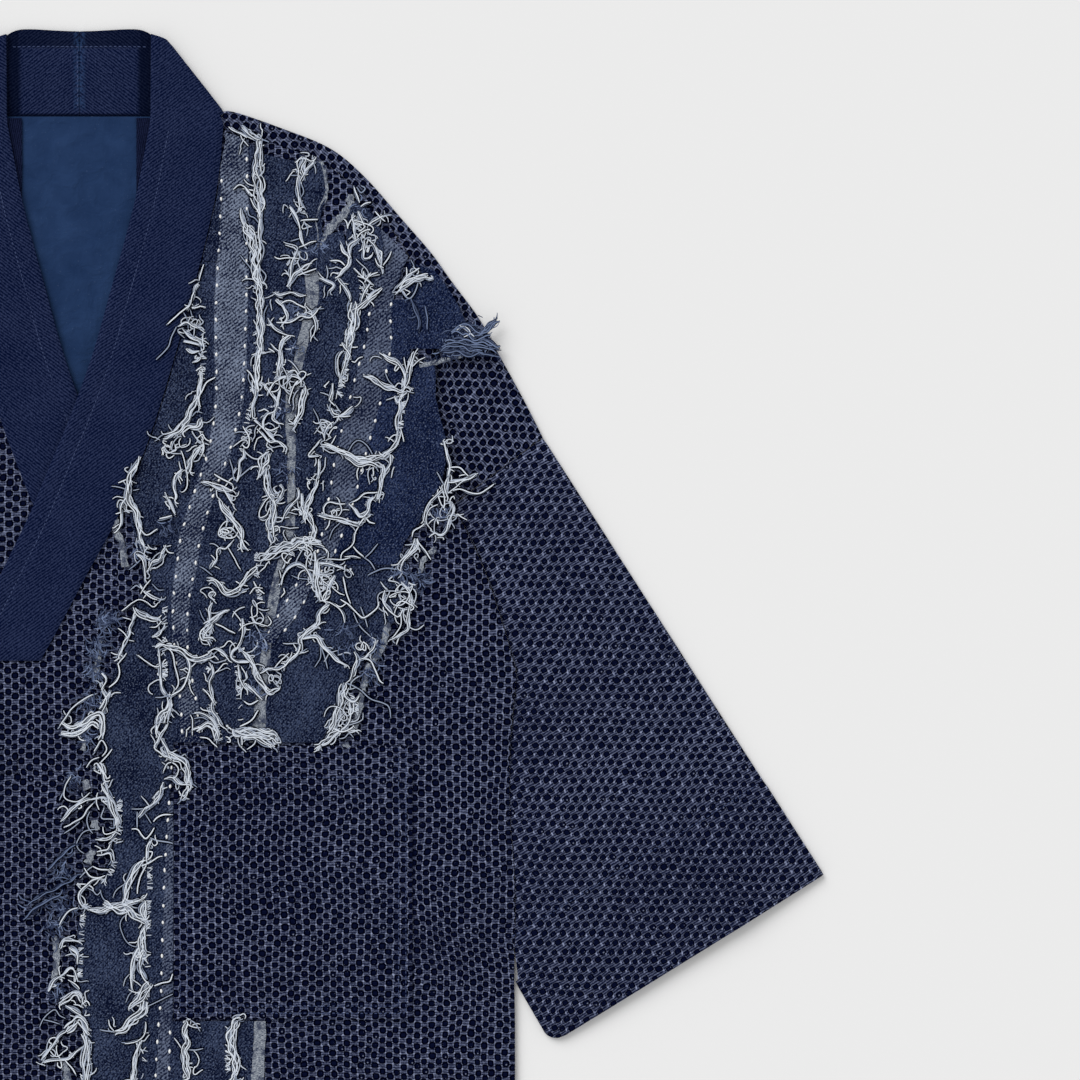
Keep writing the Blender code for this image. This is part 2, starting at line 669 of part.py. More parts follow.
def add_strand(bm, root, outward, reach, chance):
    """A tapered thread grown from four corners of the backing's side."""
    ring = root
    centre = sum((vert.co for vert in root), Vector()) / 4 / MM
    centre = Vector((centre.x, centre.y))
    turn = math.radians(chance.uniform(-STRAND_TURN, STRAND_TURN))
    bend = math.radians(chance.uniform(-STRAND_TURN, STRAND_TURN)) / 2
    for taper, rise in zip(STRAND_TAPER, STRAND_RISE):
        run = outward.copy()
        run.rotate(Matrix.Rotation(turn, 2))
        centre = centre + run * reach / len(STRAND_TAPER)
        beside = Vector((-run.y, run.x)) * STRAND_WIDTH * taper / 2
        low = on_strips(centre) + rise
        high = low + BACKING_HEIGHT * taper
        corners = []
        for spot, z in ((centre - beside, low), (centre + beside, low),
                        (centre + beside, high), (centre - beside, high)):
            corners.append(bm.verts.new(Vector((spot.x, spot.y, z)) * MM))
        for k in range(4):
            after = (k + 1) % 4
            bm.faces.new((ring[k], ring[after], corners[after], corners[k]))
        ring = corners
        turn += bend
    bm.faces.new(ring)


def add_fray(fray):
    """A narrow backing along a raw edge, with threads to both sides of it."""
    at, length = along(fray.way)
    chance = random.Random(fray.seed)
    spots = [0.0]
    for k in range(fray.strands):
        middle = length * (k + 0.5) / fray.strands
        spots += [middle - STRAND_WIDTH / 2, middle + STRAND_WIDTH / 2]
    spots.append(length)
    bm = bmesh.new()
    sections = []
    for spot in spots:
        point, run = at(spot)
        left = Vector((-run.y, run.x)) * BACKING_WIDTH / 2
        low = on_strips(point)
        section = []
        for place, z in ((point + left, low), (point - left, low),
                         (point - left, low + BACKING_HEIGHT), (point + left, low + BACKING_HEIGHT)):
            section.append(bm.verts.new(Vector((place.x, place.y, z)) * MM))
        sections.append((section, left.normalized()))
    bm.faces.new(sections[0][0])
    bm.faces.new(sections[-1][0])
    for i, ((one, left), (two, _)) in enumerate(zip(sections, sections[1:])):
        has_strand = i % 2 == 1
        on_left = (i // 2) % 2 == 0
        share = chance.uniform(0.6, 1.0)
        bm.faces.new((one[0], one[1], two[1], two[0]))
        bm.faces.new((one[2], one[3], two[3], two[2]))
        if has_strand and on_left:
            add_strand(bm, [two[0], one[0], one[3], two[3]], left, share * fray.left, chance)
        else:
            bm.faces.new((one[3], one[0], two[0], two[3]))
        if has_strand and not on_left:
            add_strand(bm, [one[1], two[1], two[2], one[2]], -left, share * fray.right, chance)
        else:
            bm.faces.new((one[1], one[2], two[2], two[1]))
    add_object(fray.name, bm, "thread")


def main():
    for found in list(bpy.data.objects):
        bpy.data.objects.remove(found, do_unlink=True)
    add_back()
    add_lining()
    for side, word in ((1, "left"), (-1, "right")):
        add_front("front_" + word, side)
        add_shoulder("shoulder_" + word, side)
        add_sleeve("sleeve_" + word, side)
        add_collar("collar_" + word, side)
    for strip in STRIPS:
        add_strip(strip)
    add_pocket()
    add_closure()
    for fray in FRAYS:
        add_fray(fray)


main()
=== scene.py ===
import math
import random
from bisect import bisect_right
from collections import namedtuple

import bpy
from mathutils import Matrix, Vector, noise


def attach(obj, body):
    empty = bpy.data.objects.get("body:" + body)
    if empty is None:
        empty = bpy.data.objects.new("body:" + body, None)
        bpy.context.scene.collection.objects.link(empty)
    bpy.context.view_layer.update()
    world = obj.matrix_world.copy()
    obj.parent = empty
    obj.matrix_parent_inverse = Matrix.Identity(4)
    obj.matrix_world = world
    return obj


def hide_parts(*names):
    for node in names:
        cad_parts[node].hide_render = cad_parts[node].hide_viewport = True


# Jacket of honeycomb-woven cotton with a twill collar band and raw denim strips down its
# left front, laid flat with the front up. Sizes are in millimetres and become metres where
# a mesh is made. +Y runs towards the collar and +X towards the wearer's left sleeve.
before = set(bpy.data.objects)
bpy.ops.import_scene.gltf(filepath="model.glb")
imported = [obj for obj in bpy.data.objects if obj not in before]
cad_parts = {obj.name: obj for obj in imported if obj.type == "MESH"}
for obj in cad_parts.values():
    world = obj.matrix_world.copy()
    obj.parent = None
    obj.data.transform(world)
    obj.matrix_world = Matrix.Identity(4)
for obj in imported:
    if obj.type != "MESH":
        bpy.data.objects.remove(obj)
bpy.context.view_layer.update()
mm = 0.001
up = Vector((0, 0, 1))

cloth = {
    "wall": 1.5,  # honeycomb cloth
    "lining": 1.0,
    "denim": 1.0,
    "band": 2.4,
    "seam": 0.3,
    "lay": 0.45,  # free space under a cloth that lies on another
    "ease": 100.0,  # how far a layer takes to rise over what lies beneath it
    "liningHalf": 95.0,
    "liningLow": 60.0,
    "cell": 4.0,  # spacing of the mesh points
}

# Soft folds that the part's solids have too, then the finer ones that only show here.
# gather is how much cloth is bunched up across the fold.
Fold = namedtuple("Fold", "x y turn long wide high gather")
softFolds = [
    Fold(250, -205, 52, 110, 42, 1.5, 0),
    Fold(205, -345, 78, 90, 45, 1.2, 0),
    Fold(372, -60, -58, 150, 46, 1.5, 0),
    Fold(430, -160, -40, 110, 44, 1.3, 0),
    Fold(352, -190, -62, 90, 40, 1.2, 0),
    Fold(-232, -190, 118, 130, 44, 1.4, 0),
    Fold(-190, -340, 96, 95, 46, 1.2, 0),
    Fold(-215, 60, 104, 110, 44, 1.1, 0),
    Fold(-365, -70, 236, 140, 46, 1.5, 0),
    Fold(-425, -150, 222, 110, 44, 1.2, 0),
]
creases = [
    Fold(262, -218, -50, 92, 17, 2.3, 7),
    Fold(246, -236, -48, 78, 13, -1.7, 0),
    Fold(268, -330, -68, 80, 15, 1.6, 3),
    Fold(276, -120, -74, 70, 14, 0.9, 2),
    Fold(150, -360, 84, 60, 16, 0.9, 0),
    Fold(-30, -150, 82, 90, 20, 0.8, 0),
    Fold(-40, -300, 96, 80, 18, 0.9, 0),
    Fold(340, -40, -56, 95, 16, 1.4, 2),
    Fold(392, -128, -48, 85, 15, 1.4, 2),
    Fold(356, -222, -35, 60, 13, 0.9, 2),
    Fold(450, -190, -52, 60, 14, 0.8, 1),
    Fold(318, 60, -62, 60, 14, 0.7, 1),
    Fold(-262, -210, -128, 95, 17, 1.5, 7),
    Fold(-250, -80, -108, 85, 15, 1.0, 2),
    Fold(-170, -250, 104, 90, 18, 1.1, 2),
    Fold(-215, 110, 98, 80, 16, 0.8, 0),
    Fold(-120, -120, 80, 90, 20, 0.9, 0),
    Fold(-345, -50, -122, 95, 16, 1.1, 2),
    Fold(-398, -140, -134, 85, 15, 1.0, 2),
    Fold(-360, -230, -146, 60, 13, 0.9, 2),
    Fold(-455, -195, -126, 60, 14, 0.8, 1),
]


def aimed(folds):
    return [(fold, math.cos(math.radians(fold.turn)), math.sin(math.radians(fold.turn))) for fold in folds]


aimedFolds = aimed(softFolds)
aimedCreases = aimed(creases)


def smooth(t):
    t = min(1.0, max(0.0, t))
    return t * t * (3.0 - 2.0 * t)


def blendTo(one, two, share):
    return one + (two - one) * share


def curveAt(rows, column, y):
    # smooth value of a table's column at a height; rows run upwards in y
    heights = [row.y for row in rows]
    k = min(max(bisect_right(heights, y) - 1, 0), len(rows) - 2)
    low, high = rows[k], rows[k + 1]
    before, after = rows[max(k - 1, 0)], rows[min(k + 2, len(rows) - 1)]
    a, b = getattr(low, column), getattr(high, column)
    span = high.y - low.y
    share = min(1.0, max(0.0, (y - low.y) / span))
    slopeLow = (b - getattr(before, column)) / (high.y - before.y) * span
    slopeHigh = (getattr(after, column) - a) / (after.y - low.y) * span
    square, cube = share ** 2, share ** 3
    value = a * (2 * cube - 3 * square + 1) + b * (3 * square - 2 * cube)
    return value + slopeLow * (cube - 2 * square + share) + slopeHigh * (cube - square)


def smoothLine(points, step):
    # evenly spaced points on a soft curve through the given ones
    knots = [Vector(point) for point in points]
    knots = [knots[0] * 2 - knots[1]] + knots + [knots[-1] * 2 - knots[-2]]
    dense = []
    for a, b, c, d in zip(knots, knots[1:], knots[2:], knots[3:]):
        parts = max(2, int((c - b).length / step * 2))
        for k in range(parts):
            t = k / parts
            dense.append((b * 2 + (c - a) * t + (a * 2 - b * 5 + c * 4 - d) * t ** 2
                          + (b * 3 - a - c * 3 + d) * t ** 3) / 2)
    dense.append(knots[-2])
    return evenly(dense, step)


def evenly(points, step):
    lengths = [0.0]
    for one, two in zip(points, points[1:]):
        lengths.append(lengths[-1] + (two - one).length)
    count = max(1, round(lengths[-1] / step))
    line = []
    for k in range(count + 1):
        length = lengths[-1] * k / count
        j = min(max(bisect_right(lengths, length) - 1, 0), len(points) - 2)
        span = max(lengths[j + 1] - lengths[j], 1e-9)
        line.append(points[j].lerp(points[j + 1], (length - lengths[j]) / span))
    return line


def foldHeight(x, y, folds):
    height = 0.0
    for fold, c, s in folds:
        along = abs((x - fold.x) * c + (y - fold.y) * s)
        if along >= fold.long:
            continue
        across = abs((y - fold.y) * c - (x - fold.x) * s)
        if across >= fold.wide:
            continue
        height += fold.high * (1 - smooth(along / fold.long)) * (1 - smooth(across / fold.wide))
    return height


def gathered(x, y, z=0.0):
    # the place in the weave, where the cloth bunches up across the creases
    u, v = x, y
    for fold, c, s in aimedCreases:
        along = abs((x - fold.x) * c + (y - fold.y) * s)
        if not fold.gather or along >= fold.long * 1.2:
            continue
        across = (y - fold.y) * c - (x - fold.x) * s
        pull = fold.gather * (smooth(across / fold.wide / 4 + 0.5) - 0.5) * (1 - smooth(along / fold.long / 1.2))
        u -= s * pull
        v += c * pull
    return u, v


def ripple(x, y):
    # the cloth's slight unevenness, with no direction of its own
    wide = noise.noise(Vector((x / 62, y / 62, 3.1))) * 0.55
    fine = noise.noise(Vector((x / 21, y / 21, 7.7))) * 0.16
    return wide + fine


def upperLayer(x, y):
    # underside of the upper layer of cloth, which lies on the back and its lining
    onLining = 1 - smooth((abs(x) - cloth["liningHalf"]) / cloth["ease"])
    onLining *= smooth((y - cloth["liningLow"] + cloth["ease"]) / cloth["ease"])
    base = cloth["wall"] + cloth["seam"] + (cloth["lining"] + cloth["seam"]) * onLining
    drape = foldHeight(x, y, aimedFolds) + foldHeight(x, y, aimedCreases) + ripple(x, y)
    return base + max(0.0, drape)


front = {"edge": -84.0, "bandEnd": -22.4, "tuck": 8.0, "hem": 28.0, "hemRise": 0.7, "columns": 92,
         "seamDrop": 0.6, "seamReach": 5.0}


def frontUnder(side, x, y):
    # the left front rises over the right one and its band
    under = upperLayer(x, y)
    if side < 0:
        return under
    overBand = smooth((y - front["bandEnd"] + cloth["ease"]) / (cloth["ease"] * 0.8))
    rise = cloth["wall"] + cloth["lay"] + (cloth["band"] + cloth["lay"] + 0.2) * overBand
    return under + rise * (1 - smooth((x - front["edge"] * -1 + 2 * front["edge"]) / cloth["ease"])) \
        * (1 - smooth((y - 170) / 150))


def frontTop(side, x, y):
    return frontUnder(side, x, y) + cloth["wall"]


def onFront(x, y):
    return frontTop(1, x, y) + cloth["lay"] * 0.4


# Shader maths

def tone(red, green, blue):
    # a colour as seen on a screen, turned into the light that the render works with
    channels = []
    for channel in (red, green, blue):
        share = channel / 255
        channels.append(share / 12.92 if share < 0.04045 else ((share + 0.055) / 1.055) ** 2.4)
    return (*channels, 1.0)


class Wire:
    # a value in a material, so that its maths reads as ordinary Python
    def __init__(self, finish, output):
        self.finish = finish
        self.output = output

    def maths(self, operation, *values):
        return self.finish.node("ShaderNodeMath", {"operation": operation}, dict(enumerate(values)))[0]

    def __add__(self, other):
        return self.maths("ADD", self, other)

    def __radd__(self, other):
        return self.maths("ADD", other, self)

    def __sub__(self, other):
        return self.maths("SUBTRACT", self, other)

    def __rsub__(self, other):
        return self.maths("SUBTRACT", other, self)

    def __mul__(self, other):
        return self.maths("MULTIPLY", self, other)

    def __rmul__(self, other):
        return self.maths("MULTIPLY", other, self)

    def __truediv__(self, other):
        return self.maths("DIVIDE", self, other)

    def __pow__(self, other):
        return self.maths("POWER", self, other)

    def __abs__(self):
        return self.maths("ABSOLUTE", self)

    def wave(self):
        # runs from 0 to 1 and back once for each whole number
        return self.maths("COSINE", self * (2 * math.pi)) * 0.5 + 0.5

    def above(self, level):
        return self.maths("GREATER_THAN", self, level)

    def larger(self, other):
        return self.maths("MAXIMUM", self, other)

    def between(self, low, high):
        # 0 below low, 1 above high, soft in the middle
        return self.finish.node("ShaderNodeMapRange", {"interpolation_type": "SMOOTHSTEP"},
                                {"Value": self, "From Min": low, "From Max": high})[0]


class Finish:
    # one material, where node() is the only place that adds a node
    def __init__(self, name, roughness, gloss=0.0, sheen=0.0):
        self.material = bpy.data.materials.new(name)
        self.material.use_nodes = True
        self.tree = self.material.node_tree
        self.shader = self.tree.nodes["Principled BSDF"]
        self.shader.inputs["Roughness"].default_value = roughness
        self.shader.inputs["Specular IOR Level"].default_value = gloss
        self.shader.inputs["Sheen Weight"].default_value = sheen
        self.shader.inputs["Sheen Roughness"].default_value = 0.6

    def node(self, kind, settings, sockets):
        made = self.tree.nodes.new(kind)
        for name, value in settings.items():
            setattr(made, name, value)
        for name, value in sockets.items():
            place = made.inputs[name]
            if isinstance(value, Wire):
                self.tree.links.new(value.output, place)
            else:
                place.default_value = value
        return [Wire(self, output) for output in made.outputs]

    def feed(self, name, value):
        self.tree.links.new(value.output, self.shader.inputs[name])

    def grain(self, name="grain"):
        return self.node("ShaderNodeUVMap", {"uv_map": name}, {})[0]

    def apart(self, vector):
        return self.node("ShaderNodeSeparateXYZ", {}, {0: vector})[:2]

    def joined(self, x, y):
        return self.node("ShaderNodeCombineXYZ", {}, {0: x, 1: y})[0]

    def vectors(self, operation, one, two):
        return self.node("ShaderNodeVectorMath", {"operation": operation}, {0: one, 1: two})[0]

    def noise(self, vector, scale, detail=2.0, roughness=0.5):
        return self.node("ShaderNodeTexNoise", {"noise_dimensions": "2D"},
                         {"Vector": vector, "Scale": scale, "Detail": detail, "Roughness": roughness})

    def mix(self, factor, one, two):
        return self.node("ShaderNodeMix", {"data_type": "RGBA"}, {0: factor, 6: one, 7: two})[2]

    def wander(self, vector, scale, reach):
        # shifts a place in the weave by up to half the reach to any side
        shift = self.vectors("SUBTRACT", self.noise(vector, scale)[1], (0.5, 0.5, 0.5))
        return self.vectors("ADD", vector, self.vectors("MULTIPLY", shift, (reach, reach, 0)))

    def bump(self, height, depth=1.0):
        # height is in millimetres
        self.feed("Normal", self.node("ShaderNodeBump", {}, {"Strength": 1.0, "Distance": mm * depth,
                                                             "Height": height})[0])


honeycomb = {
    # one repeat has two staggered holes; rungs are the light threads between holes in a column
    "body": {"across": 9.93, "rise": 7.25, "holeAcross": 2.12, "holeRise": 2.0, "corner": 3.2, "rungs": 4,
             "rung": 0.6, "net": 0.1, "column": 0.0, "bar": 0.3, "dot": 1.2, "level": -0.15, "lighterUpward": 0.22},
    "sleeve": {"across": 11.2, "rise": 7.0, "holeAcross": 2.0, "holeRise": 1.75, "corner": 4.5, "rungs": 4,
               "rung": 0.85, "net": 0.05, "column": 0.7, "bar": 0.0, "dot": 0.2, "level": -0.31,
               "lighterUpward": 0.2},
    "loose": 0.17, "deep": tone(12, 18, 45), "worn": tone(109, 118, 148), "knot": tone(146, 154, 182),
    # hole is the navy deep in the holes, darkened by painted shade; rim is the near-black painted shade at their
    # edge
    "hole": tone(8, 13, 38), "paintedRimShade": tone(0, 0, 10), "fleck": tone(128, 136, 160),
}


def honeycombFinish(name, look):
    # cotton thread bridges between rows of sunk holes, painted dark with the navy threads at their bottom and
    # painted shade, darkest at the rim
    make = Finish(name, 0.9)
    across, rise = look["across"], look["rise"]
    place = make.wander(make.wander(make.grain(), 0.022, 5.0), 0.16, 0.9)
    u, v = make.apart(place)
    lattice = make.joined(u / across + v / rise, u / across - v / rise)
    cell = make.node("ShaderNodeTexVoronoi", {"voronoi_dimensions": "2D"},
                     {"Vector": lattice, "Scale": 1.0, "Randomness": honeycomb["loose"]})
    da, db = make.apart(make.vectors("SUBTRACT", lattice, cell[2]))
    du = (da + db) * (across / 2)
    dv = (da - db) * (rise / 2)
    own, other, third = make.node("ShaderNodeSeparateColor", {}, {0: cell[1]})
    size = own * 0.2 + 0.92
    reach = (abs(du) / (size * look["holeAcross"])) ** look["corner"] \
        + (abs(dv) / (size * look["holeRise"])) ** look["corner"]
    hole = 1 - reach.between(0.85, 1.5)
    ring = reach.between(1.0, 1.5) * (1 - reach.between(1.6, 3.6))
    net = abs(da).larger(abs(db)).between(0.39, 0.49)
    rungs = (v / (rise / look["rungs"])).wave()
    column = (u / (across / 2) + 0.5).wave().between(0.8, 1.0)
    crossing = abs(db).between(0.3, 0.46)
    bar = 1 - abs(abs(du) / look["holeAcross"] - 1.25).between(0.1, 0.4)
    dot = bar * (1 - abs(abs(dv) / look["holeRise"] - 1.0).between(0.15, 0.65))
    fibre = make.noise(make.vectors("MULTIPLY", place, (0.5, 1.9, 0)), 1.0, 2.0, 0.6)[0]
    lint = make.noise(place, 0.8, 2.0, 0.6)[0]
    tide = make.noise(place, 0.012, 3.0, 0.55)[0]
    # the colour grows lighter towards the collar and darker towards the hem
    height = make.apart(make.node("ShaderNodeNewGeometry", {}, {})[0])[1] * 1000
    light = rungs.between(0.1, 0.95) * look["rung"] + (fibre - 0.5) * 1.1 + net * look["net"] + column * crossing * look["column"] \
        + bar * look["bar"] + ring * 0.06 + (tide - 0.5) * 0.45 + other * 0.08 + (height.between(-320.0, 300.0) - 0.5) * look["lighterUpward"] + look["level"]
    colour = make.mix(light.between(-0.05, 1.15), honeycomb["deep"], honeycomb["worn"])
    bright = (net * look["net"] * 2 + ring * 0.25 + column * crossing * look["column"] * 1.8
              + dot * look["dot"]) * lint.between(0.42, 0.6)
    colour = make.mix(bright * 0.75, colour, honeycomb["knot"])
    # painted shade in the holes, darkest at their rim
    holeNavyAndShade = make.mix(reach.between(0.05, 0.5), honeycomb["hole"], honeycomb["paintedRimShade"])
    colour = make.mix(hole, colour, holeNavyAndShade)
    # a light fleck near the centre of some holes is a painted glint; lint specks take the same fleck colour
    offCentre = make.node("ShaderNodeVectorMath", {"operation": "DISTANCE"},
                          {0: make.joined(du, dv), 1: make.joined(own - 0.2, -0.4 - third * 0.5)})[1]
    spot = other.above(0.94) * (1 - offCentre.between(0.25, 0.7)) * 0.7
    colour = make.mix(spot.larger(lint.between(0.74, 0.80) * 0.7), colour, honeycomb["fleck"])
    make.feed("Base Color", colour)
    make.feed("Roughness", 0.94 - hole * 0.1)
    make.bump(ring * 0.12 + net * 0.16 - hole * 0.7 + rungs * 0.16 + fibre * 0.12, 1.0)
    return make.material


def twillFinish(name, look):
    # fine slanting ribs, broken into short dashes
    make = Finish(name, 0.88)
    place = make.wander(make.grain(), 0.03, 3.0)
    u, v = make.apart(place)
    c, s = math.cos(math.radians(look["turn"])), math.sin(math.radians(look["turn"]))
    along = u * c + v * s
    across = v * c - u * s
    rib = (across / look["pitch"]).wave()
    dash = make.noise(make.joined(along * 0.5, across / look["pitch"]), 1.0, 2.0, 0.6)[0]
    yarn = make.noise(make.vectors("MULTIPLY", place, (1.3, 0.16, 0)), 1.0, 2.0, 0.6)[0]
    grit = make.noise(place, 0.75, 1.0, 0.5)[0]
    tide = make.noise(place, 0.035, 4.0, 0.6)[0]
    level = (rib - 0.5) * look["ribs"] + (dash - 0.5) * look["dashes"] + (yarn - 0.5) * look["slubs"] \
        + (grit - 0.5) * look["grit"] + (tide - 0.5) * look["tide"] + look["level"]
    # the colour grows lighter towards the collar and darker towards the hem
    if "lighterUpward" in look:
        height = make.apart(make.node("ShaderNodeNewGeometry", {}, {})[0])[1] * 1000
        level = level + (height.between(-80.0, 280.0) - 0.5) * look["lighterUpward"]
    colour = make.mix(level.between(0.0, 1.0), look["dark"], look["light"])
    speck = make.noise(place, 0.9, 1.0, 0.5)[0].between(look["flecks"], look["flecks"] + 0.05)
    colour = make.mix(speck * 0.55, colour, look["fleck"])
    # the collar band adds its painted shade and its centre back seam
    if "paintedShadeAndSeam" in look:
        colour = look["paintedShadeAndSeam"](make, colour)
    make.feed("Base Color", colour)
    make.bump(rib * 0.14 + dash * 0.15 + grit * 0.12, 1.0)
    return make.material


def collarPaintedShadeAndSeam(make, colour):
    # painted shade where the band turns over, beside its corners and at the neck seam; lighter, faded blue patches
    # at the centre back seam
    x, y = make.apart(make.node("ShaderNodeNewGeometry", {}, {})[0])
    x = abs(x) * 1000
    y = y * 1000
    # painted shade on the stand: turned above its stitch line, side at its two ends, and neck a painted shadow
    # along the neck seam, all in the dark tone below
    stand = y.between(357.5, 358.5) * (1 - x.between(49.5, 51.0))
    turned = y.between(404.0, 408.0) * 0.6
    side = x.between(39.0, 43.5) * 0.78
    neck = (1 - y.between(358.6, 360.6)) * 0.9
    colour = make.mix(turned.larger(side).larger(neck) * stand, colour, tone(3, 7, 24))
    patchy = make.noise(make.grain(), 0.5, 2.0, 0.6)[0].between(0.35, 0.65)
    seam = (1 - x.between(1.0, 6.0)) * y.between(360.0, 364.0)
    return make.mix(seam * patchy * 0.5, colour, tone(48, 72, 112))


denimLook = {"turn": 50, "pitch": 1.75, "ribs": 0.3, "dashes": 1.2, "slubs": 0.9, "grit": 1.5, "tide": 1.0,
             "level": 0.34, "dark": tone(6, 12, 36), "light": tone(62, 73, 100), "flecks": 0.66,
             "fleck": tone(110, 122, 146)}
twills = {
    "band": {"turn": 36, "pitch": 1.9, "ribs": 0.62, "dashes": 0.9, "slubs": 0.35, "grit": 0.8, "tide": 0.35,
             "level": 0.42, "dark": tone(3, 12, 42), "light": tone(44, 53, 84), "flecks": 0.71,
             "fleck": tone(66, 78, 112), "paintedShadeAndSeam": collarPaintedShadeAndSeam},
    # facing: the band's twill made darker, with painted shade from the band that lies over it
    "facing": {"turn": 80, "pitch": 1.4, "ribs": 0.5, "dashes": 0.6, "slubs": 0.3, "grit": 0.4, "tide": 0.4,
               "level": 0.45, "dark": tone(6, 10, 28), "light": tone(28, 34, 62), "flecks": 0.75,
               "fleck": tone(50, 58, 85)},
    "denim": denimLook,
    "blueDenim": {**denimLook, "dark": tone(7, 15, 42), "light": tone(50, 62, 94), "tide": 0.8},
    "dimDenim": {**denimLook, "turn": 38, "pitch": 2.1, "ribs": 0.5, "level": 0.43, "dark": tone(12, 19, 45),
                 "light": tone(97, 107, 130), "flecks": 0.69, "fleck": tone(138, 148, 168)},
    "lightDenim": {"lighterUpward": 0.24, "turn": 38, "pitch": 2.1, "ribs": 0.55, "dashes": 1.2, "slubs": 0.7,
                   "grit": 1.4, "tide": 1.2,
                   "level": 0.35, "dark": tone(10, 18, 46), "light": tone(122, 133, 155), "flecks": 0.68,
                   "fleck": tone(150, 160, 178)},
}


def liningFinish():
    make = Finish("plainCotton", 0.8)
    place = make.grain()
    u, v = make.apart(place)
    weave = (u / 0.9).wave() * (v / 0.8).wave()
    tide = make.noise(place, 0.03, 3.0, 0.5)[0]
    # crumple raises the lining in soft wrinkles and also darkens its colour in their hollows: painted shade of the
    # wrinkles
    crumpleReliefAndShade = make.noise(make.wander(place, 0.05, 14.0), 0.07, 3.0, 0.55)[0]
    level = (tide - 0.5) * 1.0 + (crumpleReliefAndShade - 0.5) * 0.7 + 0.5 + (weave - 0.25) * 0.12
    colour = make.mix(level, tone(26, 44, 76), tone(41, 62, 98))
    speck = make.noise(place, 0.7, 1.0, 0.5)[0].between(0.77, 0.81)
    colour = make.mix(speck * 0.25, colour, tone(90, 104, 134))
    make.feed("Base Color", colour)
    make.bump(weave * 0.05 + crumpleReliefAndShade * 1.6, 1.0)
    return make.material


def ribbonFinish():
    # torn edge where the pale filling threads lie bare
    make = Finish("bareFilling", 0.95)
    place = make.grain()
    threads = make.noise(make.vectors("MULTIPLY", place, (0.55, 2.0, 0)), 1.0, 3.0, 0.7)[0]
    patch = make.noise(place, 0.13, 4.0, 0.65)[0]
    colour = make.mix(threads.between(0.35, 0.65), tone(82, 91, 110), tone(180, 187, 196))
    colour = make.mix(patch.between(0.48, 0.64) * 0.8, colour, tone(40, 50, 80))
    make.feed("Base Color", colour)
    make.bump(threads * 0.8, 1.0)
    return make.material


def threadFinish():
    # u runs along each thread; v is its own shade, above 2 for indigo ones and 3 for what they shade
    make = Finish("looseThread", 0.95)
    along, shade = make.apart(make.grain())
    twist = (along / 1.5).wave()
    own = make.node("ShaderNodeMath", {"operation": "FRACT"}, {0: shade})[0]
    pale = make.mix(own, tone(128, 141, 166), tone(229, 236, 245))
    blue = make.mix(own * own, tone(7, 15, 45), tone(122, 138, 172))
    colour = make.mix(shade.above(1.5), pale, blue)
    colour = make.mix(twist * 0.15, colour, tone(74, 86, 114))
    colour = make.mix(shade.above(3.2), colour, tone(2, 4, 17))
    make.feed("Base Color", colour)
    return make.material


def yarnFinish(name, dark, light):
    make = Finish(name, 0.8)
    u, v = make.apart(make.grain())
    colour = make.mix(((u + v * 0.8) / 0.9).wave() * 0.7, light, dark)
    make.feed("Base Color", colour)
    return make.material


def floorFinish():
    make = Finish("paleFloor", 0.9)
    make.shader.inputs["Base Color"].default_value = tone(233, 233, 233)
    return make.material


finishes = {
    "body": honeycombFinish("honeycombBody", honeycomb["body"]),
    "sleeve": honeycombFinish("honeycombSleeve", honeycomb["sleeve"]),
    "band": twillFinish("navyTwill", twills["band"]),
    "facing": twillFinish("shadedTwill", twills["facing"]),
    "denim": twillFinish("darkDenim", twills["denim"]),
    "blueDenim": twillFinish("blueDenim", twills["blueDenim"]),
    "lightDenim": twillFinish("paleDenim", twills["lightDenim"]),
    "dimDenim": twillFinish("dimDenim", twills["dimDenim"]),
    "lining": liningFinish(),
    "ribbon": ribbonFinish(),
    "thread": threadFinish(),
    "whiteStitch": yarnFinish("whiteStitch", tone(200, 205, 212), tone(250, 250, 248)),
    "navyStitch": yarnFinish("navyStitch", tone(26, 36, 70), tone(78, 90, 124)),
}
print("finishes made:", len(finishes))


# Meshes

def addMesh(name, points, faces, corners, finish):
    mesh = bpy.data.meshes.new(name)
    mesh.from_pydata([(x * mm, y * mm, z * mm) for x, y, z in points], [], faces)
    grain = mesh.uv_layers.new(name="grain")
    grain.data.foreach_set("uv", [value for corner in corners for value in corner])
    mesh.materials.append(finishes[finish])
    mesh.shade_smooth()
    mesh.set_sharp_from_angle(angle=math.radians(55))
    piece = bpy.data.objects.new(name, mesh)
    bpy.context.scene.collection.objects.link(piece)
    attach(piece, "root")
    return piece


def newSpool():
    return {"points": [], "faces": [], "corners": []}


